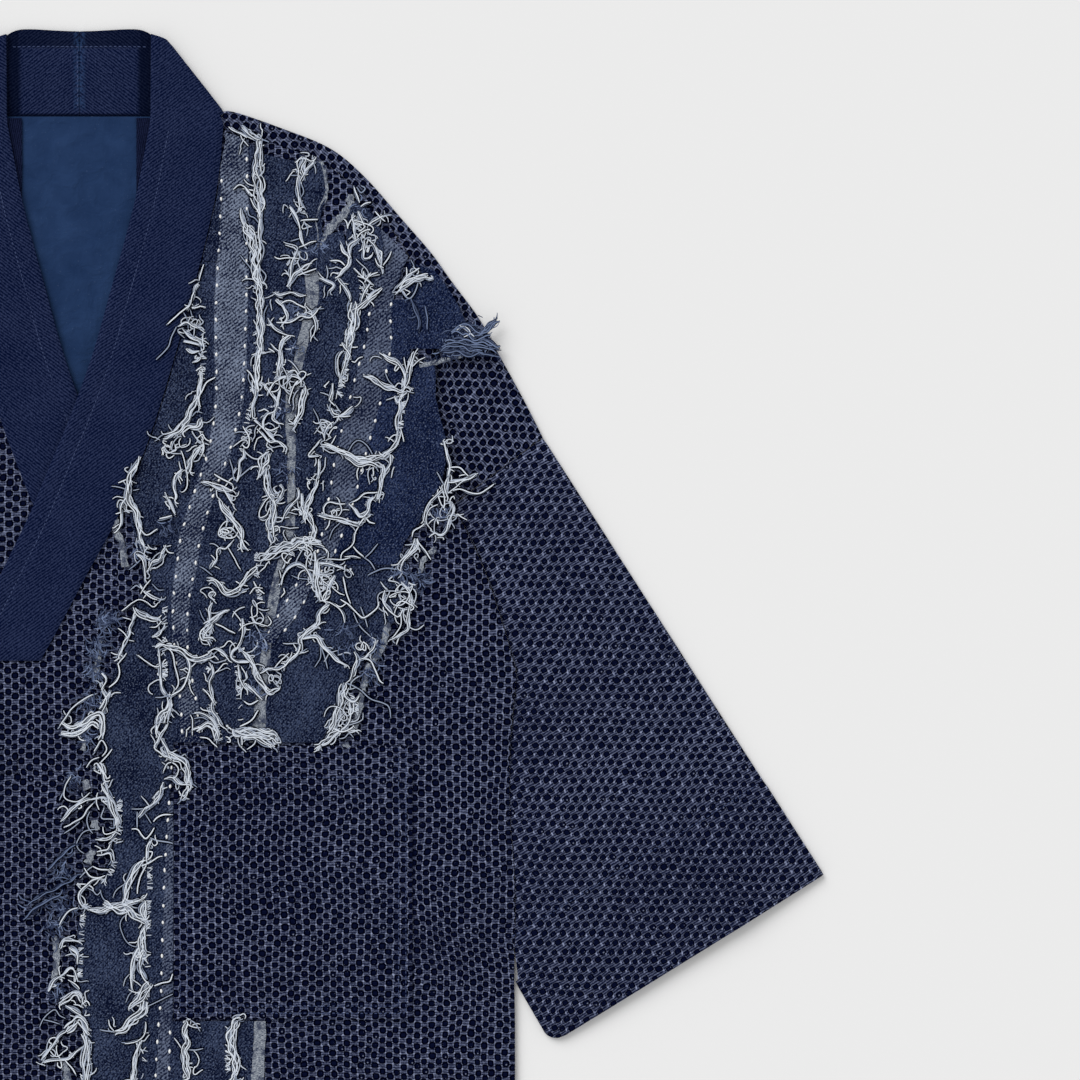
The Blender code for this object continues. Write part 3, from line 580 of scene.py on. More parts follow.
def spin(spool, path, radius, shade, sides=3, taper=0.35, squash=1.0):
    # a thin round thread along a path, thinner at its ends
    last = len(path) - 1
    start = len(spool["points"])
    along = 0.0
    lengths = []
    for i, point in enumerate(path):
        run = (path[min(i + 1, last)] - path[max(i - 1, 0)]).normalized()
        beside = run.cross(up)
        beside = beside.normalized() if beside.length > 0.05 else Vector((1, 0, 0))
        over = beside.cross(run)
        size = radius * (1 - taper * (1 - smooth(min(i, last - i) / 2)))
        for k in range(sides):
            angle = 2 * math.pi * k / sides - math.pi / 2
            spool["points"].append(point + beside * math.cos(angle) * size + over * math.sin(angle) * size * squash)
        if i:
            along += (point - path[i - 1]).length
        lengths.append(along)
    for i in range(last):
        for k in range(sides):
            after = (k + 1) % sides
            one, two = start + i * sides, start + (i + 1) * sides
            spool["faces"].append((one + k, two + k, two + after, one + after))
            spool["corners"] += [(lengths[i], shade), (lengths[i + 1], shade), (lengths[i + 1], shade),
                                 (lengths[i], shade)]
    spool["faces"].append(tuple(start + k for k in range(sides)))
    spool["faces"].append(tuple(start + last * sides + k for k in reversed(range(sides))))
    spool["corners"] += [(0.0, shade)] * sides + [(along, shade)] * sides


def windOff(spool, name, finish):
    return addMesh(name, spool["points"], spool["faces"], spool["corners"], finish)


def turned(angle, scale=1.0):
    # a weave laid at an angle to the body's
    c, s = math.cos(math.radians(angle)) * scale, math.sin(math.radians(angle)) * scale
    return lambda x, y, z: (x * c + y * s, y * c - x * s)


def addShell(name, outer, inner, finish, weave, ring=False):
    # a thin closed wall between two grids of points, open round its middle where it is a ring
    rows, columns = len(outer), len(outer[0])
    points = [point for grid in (outer, inner) for row in grid for point in row]
    places = [weave(*point) for point in points]
    under = rows * columns
    faces = []

    def quad(a, b, c, d):
        faces.append((a, b, c, d))

    spans = columns if ring else columns - 1
    for i in range(rows - 1):
        for j in range(spans):
            k = (j + 1) % columns
            one, two = i * columns, (i + 1) * columns
            quad(one + j, one + k, two + k, two + j)
            quad(under + two + j, under + two + k, under + one + k, under + one + j)
    for j in range(spans):
        k = (j + 1) % columns
        last = (rows - 1) * columns
        quad(under + j, under + k, k, j)
        quad(last + j, last + k, under + last + k, under + last + j)
    if not ring:
        for i in range(rows - 1):
            one, two = i * columns, (i + 1) * columns
            quad(one, two, under + two, under + one)
            one, two = one + columns - 1, two + columns - 1
            quad(one, under + one, under + two, two)
    corners = [places[k] for face in faces for k in face]
    return addMesh(name, points, faces, corners, finish)


def graded(count, crowd=0.6):
    # shares from 0 to 1 that stand closer at both ends
    shares = []
    for k in range(count + 1):
        even = k / count
        shares.append(blendTo(even, 0.5 - 0.5 * math.cos(math.pi * even), crowd))
    return shares


def laySheet(name, rows, shares, under, top, finish, weave):
    # each row is (left x, left y, right x, right y)
    outer, inner = [], []
    for rowNumber, (leftX, leftY, rightX, rightY) in enumerate(rows):
        upper, lower = [], []
        for share in shares:
            x, y = blendTo(leftX, rightX, share), blendTo(leftY, rightY, share)
            lower.append((x, y, under(x, y)))
            upper.append((x, y, top(x, y, rowNumber, share)))
        outer.append(upper)
        inner.append(lower)
    return addShell(name, outer, inner, finish, weave)


def sheetSize(rows):
    # widest, longest and area of a sheet in metres
    width = max(math.dist((a, b), (c, d)) for a, b, c, d in rows)
    length = max(sum(math.dist(one[at:at + 2], two[at:at + 2]) for one, two in zip(rows, rows[1:]))
                 for at in (0, 2))
    area = 0.0
    for one, two in zip(rows, rows[1:]):
        corners = [one[:2], one[2:], two[2:], two[:2]]
        area += abs(sum(a[0] * b[1] - b[0] * a[1] for a, b in zip(corners, corners[1:] + corners[:1]))) / 2
    return width * mm, length * mm, area * mm * mm


def declare(piece, nodes, flat, area):
    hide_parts(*nodes)
    if area is not None:
        area = min(area, flat[0] * flat[1])
    print(f"sheet {piece.name}: {flat[0] * 1000:.0f} x {flat[1] * 1000:.0f} mm, "
          f"{(area or flat[0] * flat[1]) * 1e4:.0f} cm2")


# Outline of a front and the back: hem, side and armhole, then the shoulder seam
Side = namedtuple("Side", "y x")
sideTable = [Side(y, 304.5) for y in (-420, -391, -362, -333, -304, -275)] + [
    Side(-246.4, 304.0), Side(-204.4, 304.5), Side(-169.4, 303.8), Side(-130.0, 301.0), Side(-85.4, 301.0),
    Side(-57.4, 303.1), Side(-30.8, 305.2), Side(-22.4, 303.3), Side(-11.9, 300.3), Side(17.5, 291.2),
    Side(41.3, 282.8), Side(68.6, 270.2), Side(86.1, 261.1), Side(107.1, 255.5), Side(145.6, 249.9),
    Side(179.2, 247.8), Side(229.6, 245.0), Side(254.8, 233.1), Side(284.2, 214.2), Side(308.0, 192.0),
    Side(325.5, 169.4), Side(338.6, 136.0), Side(348.0, 104.6),
]
armholeLow, armholeHigh = -246.4, 86.1
Band = namedtuple("Band", "y inner outer")
bandTable = [
    Band(-22.4, -84.0, -25.9), Band(6.6, -69.3, -10.0), Band(35.7, -54.6, 5.4), Band(77.7, -34.3, 28.0),
    Band(119.7, -16.8, 45.0), Band(146.3, -5.6, 54.6), Band(189.0, 9.8, 67.5), Band(236.6, 23.1, 80.5),
    Band(294.7, 38.5, 94.2), Band(325.0, 44.6, 98.8), Band(352.0, 49.8, 101.0),
]


def sideHeights(low, high):
    # heights whose points stand one cell apart along the side
    dense = [Vector((curveAt(sideTable, "x", y), y)) for y in [low + (high - low) * k / 400 for k in range(401)]]
    return [point.y for point in evenly(dense, cloth["cell"])]


def innerEdge(y):
    if y <= front["bandEnd"]:
        return front["edge"]
    return curveAt(bandTable, "outer", y) - front["tuck"]


def addFront(name, side, node):
    heights = sideHeights(-420, 348)
    rows = [(side * innerEdge(y), y, side * curveAt(sideTable, "x", y), y) for y in heights]
    widths = [abs(row[2] - row[0]) for row in rows]

    def top(x, y, rowNumber, share):
        # the hem is turned up twice, and the seam lies lower than the cloth beside it
        height = frontTop(side, x, y)
        height += front["hemRise"] * (1 - smooth((y + 420 - front["hem"]) / 2.5))
        toSide = (1 - share) * widths[rowNumber]
        height -= front["seamDrop"] * (1 - smooth(toSide / front["seamReach"]))
        if y < front["bandEnd"]:
            toEdge = share * widths[rowNumber]
            height += front["hemRise"] * (1 - smooth((toEdge - front["hem"]) / 2.5))
            height -= front["seamDrop"] * (1 - smooth(toEdge / 2.0))
        return height - front["seamDrop"] * (1 - smooth((y + 420) / 2.5))

    piece = laySheet(name, rows, graded(front["columns"], 0.15), lambda x, y: frontUnder(side, x, y), top,
                     "body",
                     gathered)
    width, length, area = sheetSize(rows)
    declare(piece, [node], (width, length), area)
    return piece


def addBack():
    rows = []
    for y in sideHeights(-420, 348)[::3]:
        x = curveAt(sideTable, "x", y)
        rows.append((-x, y, x, y))
    rows.append((-104.6, 348.0, 104.6, 348.0))
    rows.append((-98.7, 357.9, 98.7, 357.9))
    piece = laySheet("backPanel", rows, graded(40), lambda x, y: 0.0, lambda x, y, i, s: cloth["wall"],
                     "body",
                     gathered)
    width, length, area = sheetSize(rows)
    declare(piece, ["back_panel"], (width, length), area)


lining = {"creases": aimed([
    Fold(-6, 300, 92, 60, 9, 0.7, 0), Fold(12, 262, 62, 50, 12, 0.6, 0), Fold(-22, 240, 118, 60, 13, 0.6, 0),
    Fold(26, 322, 70, 34, 10, 0.5, 0), Fold(-30, 330, 100, 30, 9, 0.5, 0), Fold(2, 205, 84, 55, 12, 0.6, 0),
    Fold(20, 215, 110, 40, 10, 0.5, 0),
])}


def addLining():
    rows = [(-95, y, 95, y) for y in [60 + (357.7 - 60) * k / 74 for k in range(75)]]
    base = cloth["wall"] + cloth["seam"]

    def top(x, y, rowNumber, share):
        soft = max(0.0, noise.noise(Vector((x / 26, y / 34, 1.3)))) * 0.35
        return base + cloth["lining"] * 0.6 + min(1.1, foldHeight(x, y, lining["creases"]) + soft)

    piece = laySheet("backLining", rows, graded(48, 0.0), lambda x, y: base, top, "lining", turned(0))
    width, length, area = sheetSize(rows)
    declare(piece, ["back_lining"], (width, length), area)
    # a strip of facing twill on each side of the lining, darker under the collar band as painted shade
    for side, word in ((1, "Left"), (-1, "Right")):
        rows = [(side * 40.0, y, side * 60.0, y) for y in [150 + (356.4 - 150) * k / 50 for k in range(51)]]
        low = base + cloth["lining"] + 0.75
        piece = laySheet("neckFacing" + word, rows, graded(8), lambda x, y: low,
                         lambda x, y, i, share: low + 0.3 + 0.5 * smooth(share * 9), "facing", turned(0))


shoulderTable = [  # seam x, seam y, fold x, fold y
    (261.1, 86.1, 322.7, 132.1), (255.5, 107.1, 309.6, 158.0), (249.9, 145.6, 294.5, 185.7),
    (247.8, 179.2, 278.6, 214.6), (245.0, 229.6, 257.6, 243.2), (233.1, 254.8, 244.4, 261.6),
    (214.2, 284.2, 223.4, 285.8), (192.0, 308.0, 198.2, 314.4), (169.4, 325.5, 174.3, 334.0),
    # the last under the band
    (136.0, 338.6, 140.2, 347.8), (104.6, 348.0, 107.9, 358.6), (98.2, 349.9, 99.6, 358.6),
]


def roundEdge(x, y, out, top, low, steps):
    # points round a folded edge, from height top to height low, bulging along out
    middle, radius = (top + low) / 2, (top - low) / 2
    points = []
    for k in range(1, steps + 1):
        angle = math.pi * k / (steps + 1)
        reach = radius * math.sin(angle)
        points.append((x + out[0] * reach, y + out[1] * reach, middle + radius * math.cos(angle)))
    return points


def addShoulder(name, side, node):
    # smoothLine wants one parameter for both edges, so each row is one point of four numbers
    rows = smoothLine([Vector(row) for row in shoulderTable], 5.0)
    outer, inner, flat = [], [], []
    for i, row in enumerate(rows):
        seamY = min(max(row[1], 86.1), 348.0)
        seam = Vector((curveAt(sideTable, "x", seamY), seamY)) if row[1] < 347.9 else Vector((row[0], row[1]))
        fold = Vector((row[2], row[3]))
        seam += (fold - seam).normalized() * cloth["seam"]
        before, after = rows[max(i - 1, 0)], rows[min(i + 1, len(rows) - 1)]
        run = Vector((after[2] - before[2], after[3] - before[3])).normalized()
        out = (side * run.y, -run.x)
        if i == 0:
            shift = run * cloth["seam"] * 1.5
            seam, fold = seam + shift, fold + shift
        line = [seam.lerp(fold, share) for share in graded(14, 0.3)]
        flat.append((seam.x, seam.y, fold.x, fold.y))
        line = [(side * point.x, point.y) for point in line]
        lifts = [upperLayer(x, y) for x, y in line]
        width = (fold - seam).length
        upper = []
        for (x, y), lift, share in zip(line, lifts, graded(14, 0.3)):
            drop = front["seamDrop"] * (1 - smooth(share * width / front["seamReach"]))
            upper.append((x, y, lift + cloth["wall"] - drop))
        x, y = line[-1]
        outside = roundEdge(x, y, out, lifts[-1] + cloth["wall"], 0.0, 6)
        inside = roundEdge(x, y, out, lifts[-1], cloth["wall"], 6)
        back = [line[k] for k in range(len(line) - 1, -1, -2)]
        outer.append(upper + outside + [(x, y, 0.0) for x, y in back])
        inner.append([(x, y, z) for (x, y), z in zip(line, lifts)] + inside
                     + [(x, y, cloth["wall"]) for x, y in back])
    piece = addShell(name, outer, inner, "body", turned(-39.5 * side))
    width, length, area = sheetSize(flat)
    declare(piece, [node], (2 * width + 0.01, length),
            min(2 * area + length * 0.006, 1.9 * width * length))


sleeve = {"cuffLow": (331.5, -289.5), "cuffHigh": (518.7, -173.3), "shoulder": (322.7, 132.1), "inset": 2.2,
          "puff": 2.4, "hem": 81.0, "hemRise": 0.8, "corner": 10.0, "grain": 31.0, "steps": 62}


hemLines = {}


def sleeveLine(share):
    # the sleeve's width at a share of its length, from the underarm to the top fold
    start = []
    for y in sideHeights(armholeLow, armholeHigh):
        start.append(Vector((curveAt(sideTable, "x", y) + cloth["seam"], y)))
    inset = sleeve["inset"]
    for k, point in enumerate(start[:6]):
        point.x += inset * (1 - smooth(k / 6))
    shoulder = Vector(sleeve["shoulder"])
    last = start[-1].copy()
    extra = round((shoulder - last).length / cloth["cell"])
    start += [last.lerp(shoulder, k / extra) for k in range(1, extra + 1)]
    lengths = [0.0]
    for one, two in zip(start, start[1:]):
        lengths.append(lengths[-1] + (two - one).length)
    low, high = Vector(sleeve["cuffLow"]), Vector(sleeve["cuffHigh"])
    return [point.lerp(low.lerp(high, length / lengths[-1]), share) for point, length in zip(start, lengths)]


def addSleeve(name, side, node):
    first, last = sleeveLine(0.0), sleeveLine(1.0)
    lowRun, highRun = (last[0] - first[0]).normalized(), (last[-1] - first[-1]).normalized()
    lowOut, highOut = (side * lowRun.y, -lowRun.x), (-side * highRun.y, highRun.x)
    outer, inner, hemLine = [], [], {}
    for step in graded(sleeve["steps"], 0.25):
        line = [one.lerp(two, step) for one, two in zip(first, last)]
        points, tops = [], []
        beyond = max(0.0, sleeve["corner"] - (last[0] - line[0]).length)
        rounded = sleeve["corner"] - math.sqrt(sleeve["corner"] ** 2 - beyond ** 2)
        line = [point.lerp(line[-1], rounded / (line[-1] - line[0]).length) for point in line]
        width = (line[-1] - line[0]).length
        for point, one, two in zip(line, first, last):
            share = (point - line[0]).length / width
            puff = sleeve["puff"] * math.sin(math.pi * min(1.0, share)) ** 0.7 * smooth(step * 3)
            x = side * point.x
            lift = upperLayer(x, point.y) + max(0.0, puff)
            toCuff = (two - point).length
            drop = front["seamDrop"] * (1 - smooth((point - one).length / front["seamReach"]))
            drop += 0.5 * (1 - smooth(toCuff / 2.5))
            hem = sleeve["hemRise"] * (1 - smooth((toCuff - sleeve["hem"]) / 2.5))
            hem -= 0.7 * (1 - smooth(abs(toCuff - sleeve["hem"] + 3) / 3.5))
            points.append((x, point.y, lift))
            tops.append((x, point.y, lift + cloth["wall"] + hem - drop))
            if toCuff < sleeve["hem"] and len(tops) not in hemLine:
                spot = two + (one - two).normalized() * (sleeve["hem"] - 3)
                hemLine[len(tops)] = (side * spot.x, spot.y, tops[-1][2])
        x, y, lift = points[-1]
        top = tops[-1][2]
        topOutside = roundEdge(x, y, highOut, top, 0.0, 6)
        topInside = roundEdge(x, y, highOut, lift, cloth["wall"], 6)
        x, y, lift = points[0]
        top = tops[0][2]
        lowOutside = roundEdge(x, y, lowOut, top, 0.0, 6)[::-1]
        lowInside = roundEdge(x, y, lowOut, lift, cloth["wall"], 6)[::-1]
        back = points[::-1]
        outer.append(tops + topOutside + [(x, y, 0.0) for x, y, z in back] + lowOutside)
        inner.append(points + topInside + [(x, y, cloth["wall"]) for x, y, z in back] + lowInside)
    hemLines[side] = [hemLine[k] for k in sorted(hemLine)][1:-1]
    piece = addShell(name, outer, inner, "sleeve", turned(sleeve["grain"] * side), ring=True)
    long = (last[-1] - first[-1]).length
    flat = []
    for step in (0.0, 1.0):
        line = [one.lerp(two, step) for one, two in zip(first, last)]
        flat.append((line[0].x, line[0].y, line[-1].x, line[-1].y))
    wide, area = sheetSize(flat)[0], sheetSize(flat)[2]
    declare(piece, [node], (2 * wide, long * mm), 2 * area)


collar = {"top": (52.0, 417.5), "foot": (98.7, 358.1), "middleTop": 417.3, "stitch": 14.0, "groove": 0.45,
          "columns": 26, "roll": 8, "standStitch": 11.5, "standRise": 1.6, "corner": 13.0, "soft": 3.2}


def cornerTurned(point):
    # the corner where the band's two folds meet is soft
    share = max(0.0, 1 - (point - Vector(collar["top"])).length / collar["corner"])
    return point - Vector((0.437, 0.899)) * collar["soft"] * share ** 2


def addCollar(name, side, node):
    shares = graded(collar["columns"], 0.45)
    top, foot = Vector(collar["top"]), Vector(collar["foot"])
    lines = []
    count = round((352.0 - front["bandEnd"]) / cloth["cell"])
    for k in range(count + 1):
        y = front["bandEnd"] + (352.0 - front["bandEnd"]) * k / count
        inside, outside = curveAt(bandTable, "inner", y), curveAt(bandTable, "outer", y)
        lines.append([Vector((blendTo(inside, outside, share), y)) for share in shares])
    last = lines[-1]
    fold = [cornerTurned(top.lerp(foot, share)) for share in shares]
    for k in range(1, 13):
        lines.append([one.lerp(two, k / 12) for one, two in zip(last, fold)])
    upper, lower = [], []
    for number, line in enumerate(lines):
        width = (line[-1] - line[0]).length
        over, below = [], []
        for point, share in zip(line, shares):
            x = side * point.x
            under = frontTop(side, x, point.y) + cloth["lay"]
            inEdge, outEdge = share * width, (1 - share) * width
            height = under + cloth["band"] - 0.9 * (1 - smooth(inEdge / 2.4)) - 1.0 * (1 - smooth(outEdge / 4.0))
            groove = abs(inEdge - collar["stitch"])
            height -= collar["groove"] * (1 - smooth(groove / 3.0))
            height -= 0.8 * (1 - smooth(number / 0.8))
            height += 0.35 * noise.noise(Vector((x / 30, point.y / 30, 5.0)))
            below.append((x, point.y, under))
            over.append((x, point.y, height))
        upper.append(over)
        lower.append(below)
    run = (foot - top).normalized()
    out = (-side * run.y, run.x)
    for k in range(collar["roll"] + 1):
        outside, inside = [], []
        for (x, y, high), (_, _, low), share in zip(upper[len(lines) - 1], lower[len(lines) - 1], shares):
            swell = 0.15 + 0.85 * smooth(share * (foot - top).length / collar["corner"])
            bulge = (out[0] * swell, out[1] * swell)
            ring = roundEdge(x, y, bulge, high, 0.0, collar["roll"])
            ring.append((x, y, 0.0))
            outside.append(ring[k])
            ring = roundEdge(x, y, bulge, low, cloth["band"], collar["roll"])
            ring.append((x, y, cloth["band"]))
            inside.append(ring[k])
        upper.append(outside)
        lower.append(inside)
    middle = cloth["seam"] / 2
    for k in range(1, 16):
        share = k / 15
        one = top.lerp(Vector((middle, collar["middleTop"])), share)
        one.y += 1.3 * math.sin(math.pi * share ** 0.6) ** 2
        two = foot.lerp(Vector((middle, foot.y)), share)
        line = [cornerTurned(one.lerp(two, part)) for part in shares]
        width = (two - one).length
        upper.append([(side * point.x, point.y, 0.0) for point in line])
        inside = []
        for point, part in zip(line, shares):
            # the stand bulges towards the viewer, with a stitched groove and a seam at the centre back
            height = cloth["band"] + collar["standRise"] * math.sin(math.pi * part) ** 0.8 * smooth(share * 3)
            height -= 0.4 * (1 - smooth(abs(part * width - collar["standStitch"]) / 3.0))
            height -= 0.7 * (1 - smooth(point.x / 3.5))
            inside.append((side * point.x, point.y, height))
        lower.append(inside)


    def weave(x, y, z):
        # the ribs slant the other way on the stand at the back of the neck
        return (-side * x, y) if y > 357 and z < 4.3 else (side * x, y)

    piece = addShell(name, upper, lower, "band", weave)
    spans = [(line[0].x, line[0].y, line[-1].x, line[-1].y) for line in lines]
    width, length, area = sheetSize(spans)
    stand = math.dist(top, (0, collar["middleTop"])) * mm
    declare(piece, [node], (0.062, length + stand), None)


def columns(text, rows):
    Row = namedtuple("Row", text)
    return [Row(*row) for row in rows][::-1]


# Seams between the denim strips, from the shoulder down: x of each at a height y
upperSeams = columns("y edge fray1 pale1 pale2 fray4 ribbon1 ribbon2 fray6 pale3 pale4 fray7 outer", [
    (340.0, 101, 101, 103, 118, 122, 130, 140, 150, 160, 170, 180, 190),
    (324.0, 100, 100, 100, 118, 126, 154, 164, 170, 180, 190, 200, 206),
    (299.6, 96, 97, 99, 118, 127, 155, 171, 186, 196, 204, 210, 214),
    (264.6, 87, 89, 97.4, 118, 126, 156, 169, 186, 211, 231, 233, 236),
    (229.6, 80, 85, 95.8, 118, 126, 158, 168, 190, 204, 219, 228, 262),
    (194.6, 70, 84, 96, 117, 126, 151, 160, 186, 199, 219, 231, 276),
    (187.6, 68, 84, 96, 117, 126, 150, 158, 184, 196, 217, 230, 248),
    (159.6, 60, 80, 96, 115, 124, 144, 154, 176, 189, 212, 224, 249),
    (124.6, 47, 76, 91, 107, 116, 145, 152, 168, 180, 202, 215, 256),
    (89.6, 36, 68, 79, 94, 106, 145, 152, 163, 174, 193, 204, 248),
    (58.0, 42, 59, 70, 85, 99, 142, 151, 162, 168, 182, 192, 226),
    (44.1, 50, 57, 69, 83, 96, 138, 148, 158, 164, 176, 186, 224),
    (19.6, 43, 56, 66, 78, 91, 132, 140, 150, 158, 168, 180, 228),
    (-15.4, 31, 56, 67, 77, 90, 127, 135, 144, 152, 160, 170, 204),
    (-50.4, 20, 58, 71, 83, 93, 123, 132, 140, 148, 156, 164, 182),
    (-79.8, 17, 60, 72, 86, 97, 119, 131, 138, 145, 152, 160, 169),
])
lowerSeams = columns("y edge fray2 pale1 pale2 ribbon3 ribbon4", [
    (-79.8, 17.0, 60.0, 65.6, 65.9, 120, 130),
    (-120.4, 23.1, 56.0, 63.0, 65.9, 120, 130),
    (-155.4, 24.5, 50.0, 60.5, 65.9, 120, 130),
    (-197.4, 3.5, 48.0, 58.5, 65.6, 120, 130),
    (-225.4, -0.7, 48.0, 58.0, 65.4, 120, 130),
    (-260.4, 2.8, 45.0, 57.0, 65.2, 120, 130),
    (-274.0, 4.0, 43.6, 56.0, 64.9, 122, 130),
    (-295.4, 5.6, 41.0, 54.0, 64.4, 121, 129.5),
    (-330.0, 6.0, 38.0, 53.0, 64.0, 119, 128),
    (-375.0, 7.0, 37.0, 52.0, 63.5, 118, 127),
    (-416.0, 8.0, 36.5, 51.5, 63.0, 117, 126),
])
Strip = namedtuple("Strip", "node table left right top low finish")
strips = [
    Strip("denim_collar_side", upperSeams, "edge", "fray1", 264.6, 58.0, "denim"),
    Strip("denim_front_edge", upperSeams, "edge", "fray1", 44.1, -79.8, "denim"),
    Strip("denim_front_edge_low", lowerSeams, "edge", "fray2", -79.8, -416.0, "denim"),
    Strip("denim_inner", upperSeams, "fray1", "pale1", 264.6, -79.8, "denim"),
    Strip("denim_inner_low", lowerSeams, "fray2", "pale1", -79.8, -416.0, "denim"),
    Strip("light_denim_long", upperSeams, "pale1", "pale2", 340.0, -79.8, "lightDenim"),
    Strip("light_denim_low", lowerSeams, "pale1", "pale2", -120.4, -416.0, "dimDenim"),
    Strip("denim_middle", upperSeams, "pale2", "fray4", 324.0, -79.8, "denim"),
    Strip("denim_broad", upperSeams, "fray4", "ribbon1", 324.0, -79.8, "denim"),
    Strip("ribbon_long", upperSeams, "ribbon1", "ribbon2", 299.6, -79.8, "ribbon"),
    Strip("denim_shoulder", upperSeams, "ribbon2", "fray6", 229.6, 44.1, "denim"),
    Strip("denim_under_light", upperSeams, "fray6", "pale3", 264.6, 44.1, "denim"),
    Strip("light_denim_shoulder", upperSeams, "pale3", "pale4", 264.6, 44.1, "dimDenim"),
    Strip("denim_slim", upperSeams, "pale4", "fray7", 229.6, 44.1, "blueDenim"),
    Strip("denim_outer", upperSeams, "fray7", "outer", 187.6, 44.1, "blueDenim"),
    Strip("denim_shoulder_flap", upperSeams, "fray7", "outer", 264.6, 194.6, "blueDenim"),
    Strip("denim_low", upperSeams, "ribbon2", "outer", 44.1, -79.8, "denim"),
    Strip("denim_below_pocket", lowerSeams, "pale2", "ribbon3", -274.0, -416.0, "denim"),
    Strip("ribbon_low", lowerSeams, "ribbon3", "ribbon4", -274.0, -416.0, "ribbon"),
]
# Heights of a strip's slanting top end, at its left and its right edge
slants = {"light_denim_long": (346.5, 341.5), "denim_middle": (340.5, 332.0), "denim_broad": (332.0, 325.5),
          "ribbon_long": (254.0, 258.0), "denim_front_edge_low": (-76.0, -76.0),
          "denim_inner_low": (-76.0, -76.0),
          "light_denim_shoulder": (280.0, 260.0), "denim_shoulder_flap": (256.0, 250.0)}
# Scraps laid over the strips: the strip that each is sewn to, its finish, how ragged its sides are,
# then rows of left x, y, right x, y
scraps = {
    "patchCollar": ("denim_inner", "denim", 0.4, [
        (86.6, 256, 96.9, 256), (88.7, 266, 97.9, 266), (91.2, 277, 98.4, 277), (93.9, 289, 98.8, 289),
        (96.1, 299, 99.2, 299), (97.9, 310, 99.6, 310)]),
    "patchHigh": ("denim_broad", "denim", 2.6, [
        (154, 247, 170, 250), (154, 262, 168, 263), (153.5, 275, 170, 275), (155, 288, 169.5, 288),
        (154.5, 300, 171.5, 300), (155, 312, 172, 311), (154, 331, 170.5, 324)]),
    "patchMiddle": ("denim_shoulder", "denim", 1.3,
                    [(168, 228, 190, 229), (168, 250, 190, 250), (169, 262, 188, 262),
                                                (170, 273, 184, 278)]),
    "patchShoulder": ("denim_under_light", "denim", 1.3,
                      [(187, 262, 213, 262), (187, 276, 212, 272), (188, 288, 207, 287),
                                                     (191, 297, 200, 294)]),
    "patchTail": ("light_denim_shoulder", "lightDenim", 1.3, [
        (127, -8, 137, -11), (129.5, -3.5, 141.4, -3.5), (134.4, 4.2, 149, 4.2), (142, 15.4, 156, 15.4),
        (146, 24, 161, 24), (153, 34, 166, 34), (160, 44, 174, 44), (165, 52, 179, 52)]),
}
# Bare filling threads left of a torn edge: width, then the points it passes
ribbonScraps = """
3.8 : 169,326 172,314 172,303 168,294 166,287
2.8 : 165,286 167,275 167,265
5.6 : 190,303 189,294 183,287 176,280 172,272 167,265
4.9 : 26,78 27,69 31,58 33,43
4.2 : 15,-8 14,-19 13,-28 10,-35
3.5 : 6,-75 3,-85
5.6 : 4,-106 7,-112
5.6 : 11,-134 12,-141
5.6 : 10,-155 6,-164
4.9 : -17,-215 -15,-225 -16,-239 -17,-250
5.6 : -10,-302 -7,-316
5.6 : 130,-50 129,-59 129,-66
3.5 : 249,56 241,48 238,37
4.9 : 216,4 214,-8 210,-17 204,-24 200,-36 197,-50 193,-70
3.5 : 238,183 252,186 270,191
4.2 : 186,-80 189,-85
"""
stripLook = {"cell": 3.0, "overlap": 0.7, "wobble": 0.9, "lift": 0.5, "stagger": 0.14, "pucker": 0.35,
             "crease": 0.5,
             "clear": 1.0}


def seamX(table, name, y):
    # a raw edge between two strips, slightly uneven
    uneven = noise.noise(Vector((y / 7.5, sum(name.encode()) * 0.37, 0.0))) * stripLook["wobble"]
    return curveAt(table, name, y) + uneven


def stripTop(x, y):
    return onFront(x, y) + cloth["denim"]


def addScrap(name, finish, rough, corners):
    # a thin torn piece that lies on the strips
    line = smoothLine([Vector(corner) for corner in corners], stripLook["cell"])
    rows = []
    for k, (leftX, leftY, rightX, rightY) in enumerate(line):
        ragged = [noise.noise(Vector((k * 0.45, len(name), end))) * rough for end in (0.0, 5.0)]
        rows.append((leftX + ragged[0], leftY, rightX + ragged[1], rightY))
    piece = laySheet(name, rows, graded(8, 0.2), lambda x, y: stripTop(x, y) + 0.35,
                     lambda x, y, i, share: stripTop(x, y) + 0.75, finish, turned(0))
    return piece


def layRibbon(spool, way, width):
    # a narrow torn band, thicker along its middle
    line = smoothLine(way, 1.5)
    start = len(spool["points"])
    for k, point in enumerate(line):
        run = (line[min(k + 1, len(line) - 1)] - line[max(k - 1, 0)]).normalized()
        halves = [width * (0.46 + 0.35 * noise.noise(Vector((k * 0.5, width * 3, side)))) for side in (0.0,
                                                                                                       4.0)]
        low = stripTop(point.x, point.y) + 0.3
        for offset, lift in ((-halves[0], 0.0), (0.0, 0.6), (halves[1], 0.0), (0.0, -0.1)):
            spool["points"].append(Vector((point.x - run.y * offset, point.y + run.x * offset, low + lift)))
    count = len(line)
    faces = [(start + i * 4 + k, start + i * 4 + 4 + k, start + i * 4 + 4 + (k + 1) % 4,
              start + i * 4 + (k + 1) % 4)
             for i in range(count - 1) for k in range(4)]
    faces.append(tuple(start + k for k in range(4)))
    faces.append(tuple(start + (count - 1) * 4 + k for k in (3, 2, 1, 0)))
    for face in faces:
        spool["faces"].append(tuple(reversed(face)))
        spool["corners"] += [(spool["points"][k].y, spool["points"][k].x) for k in reversed(face)]


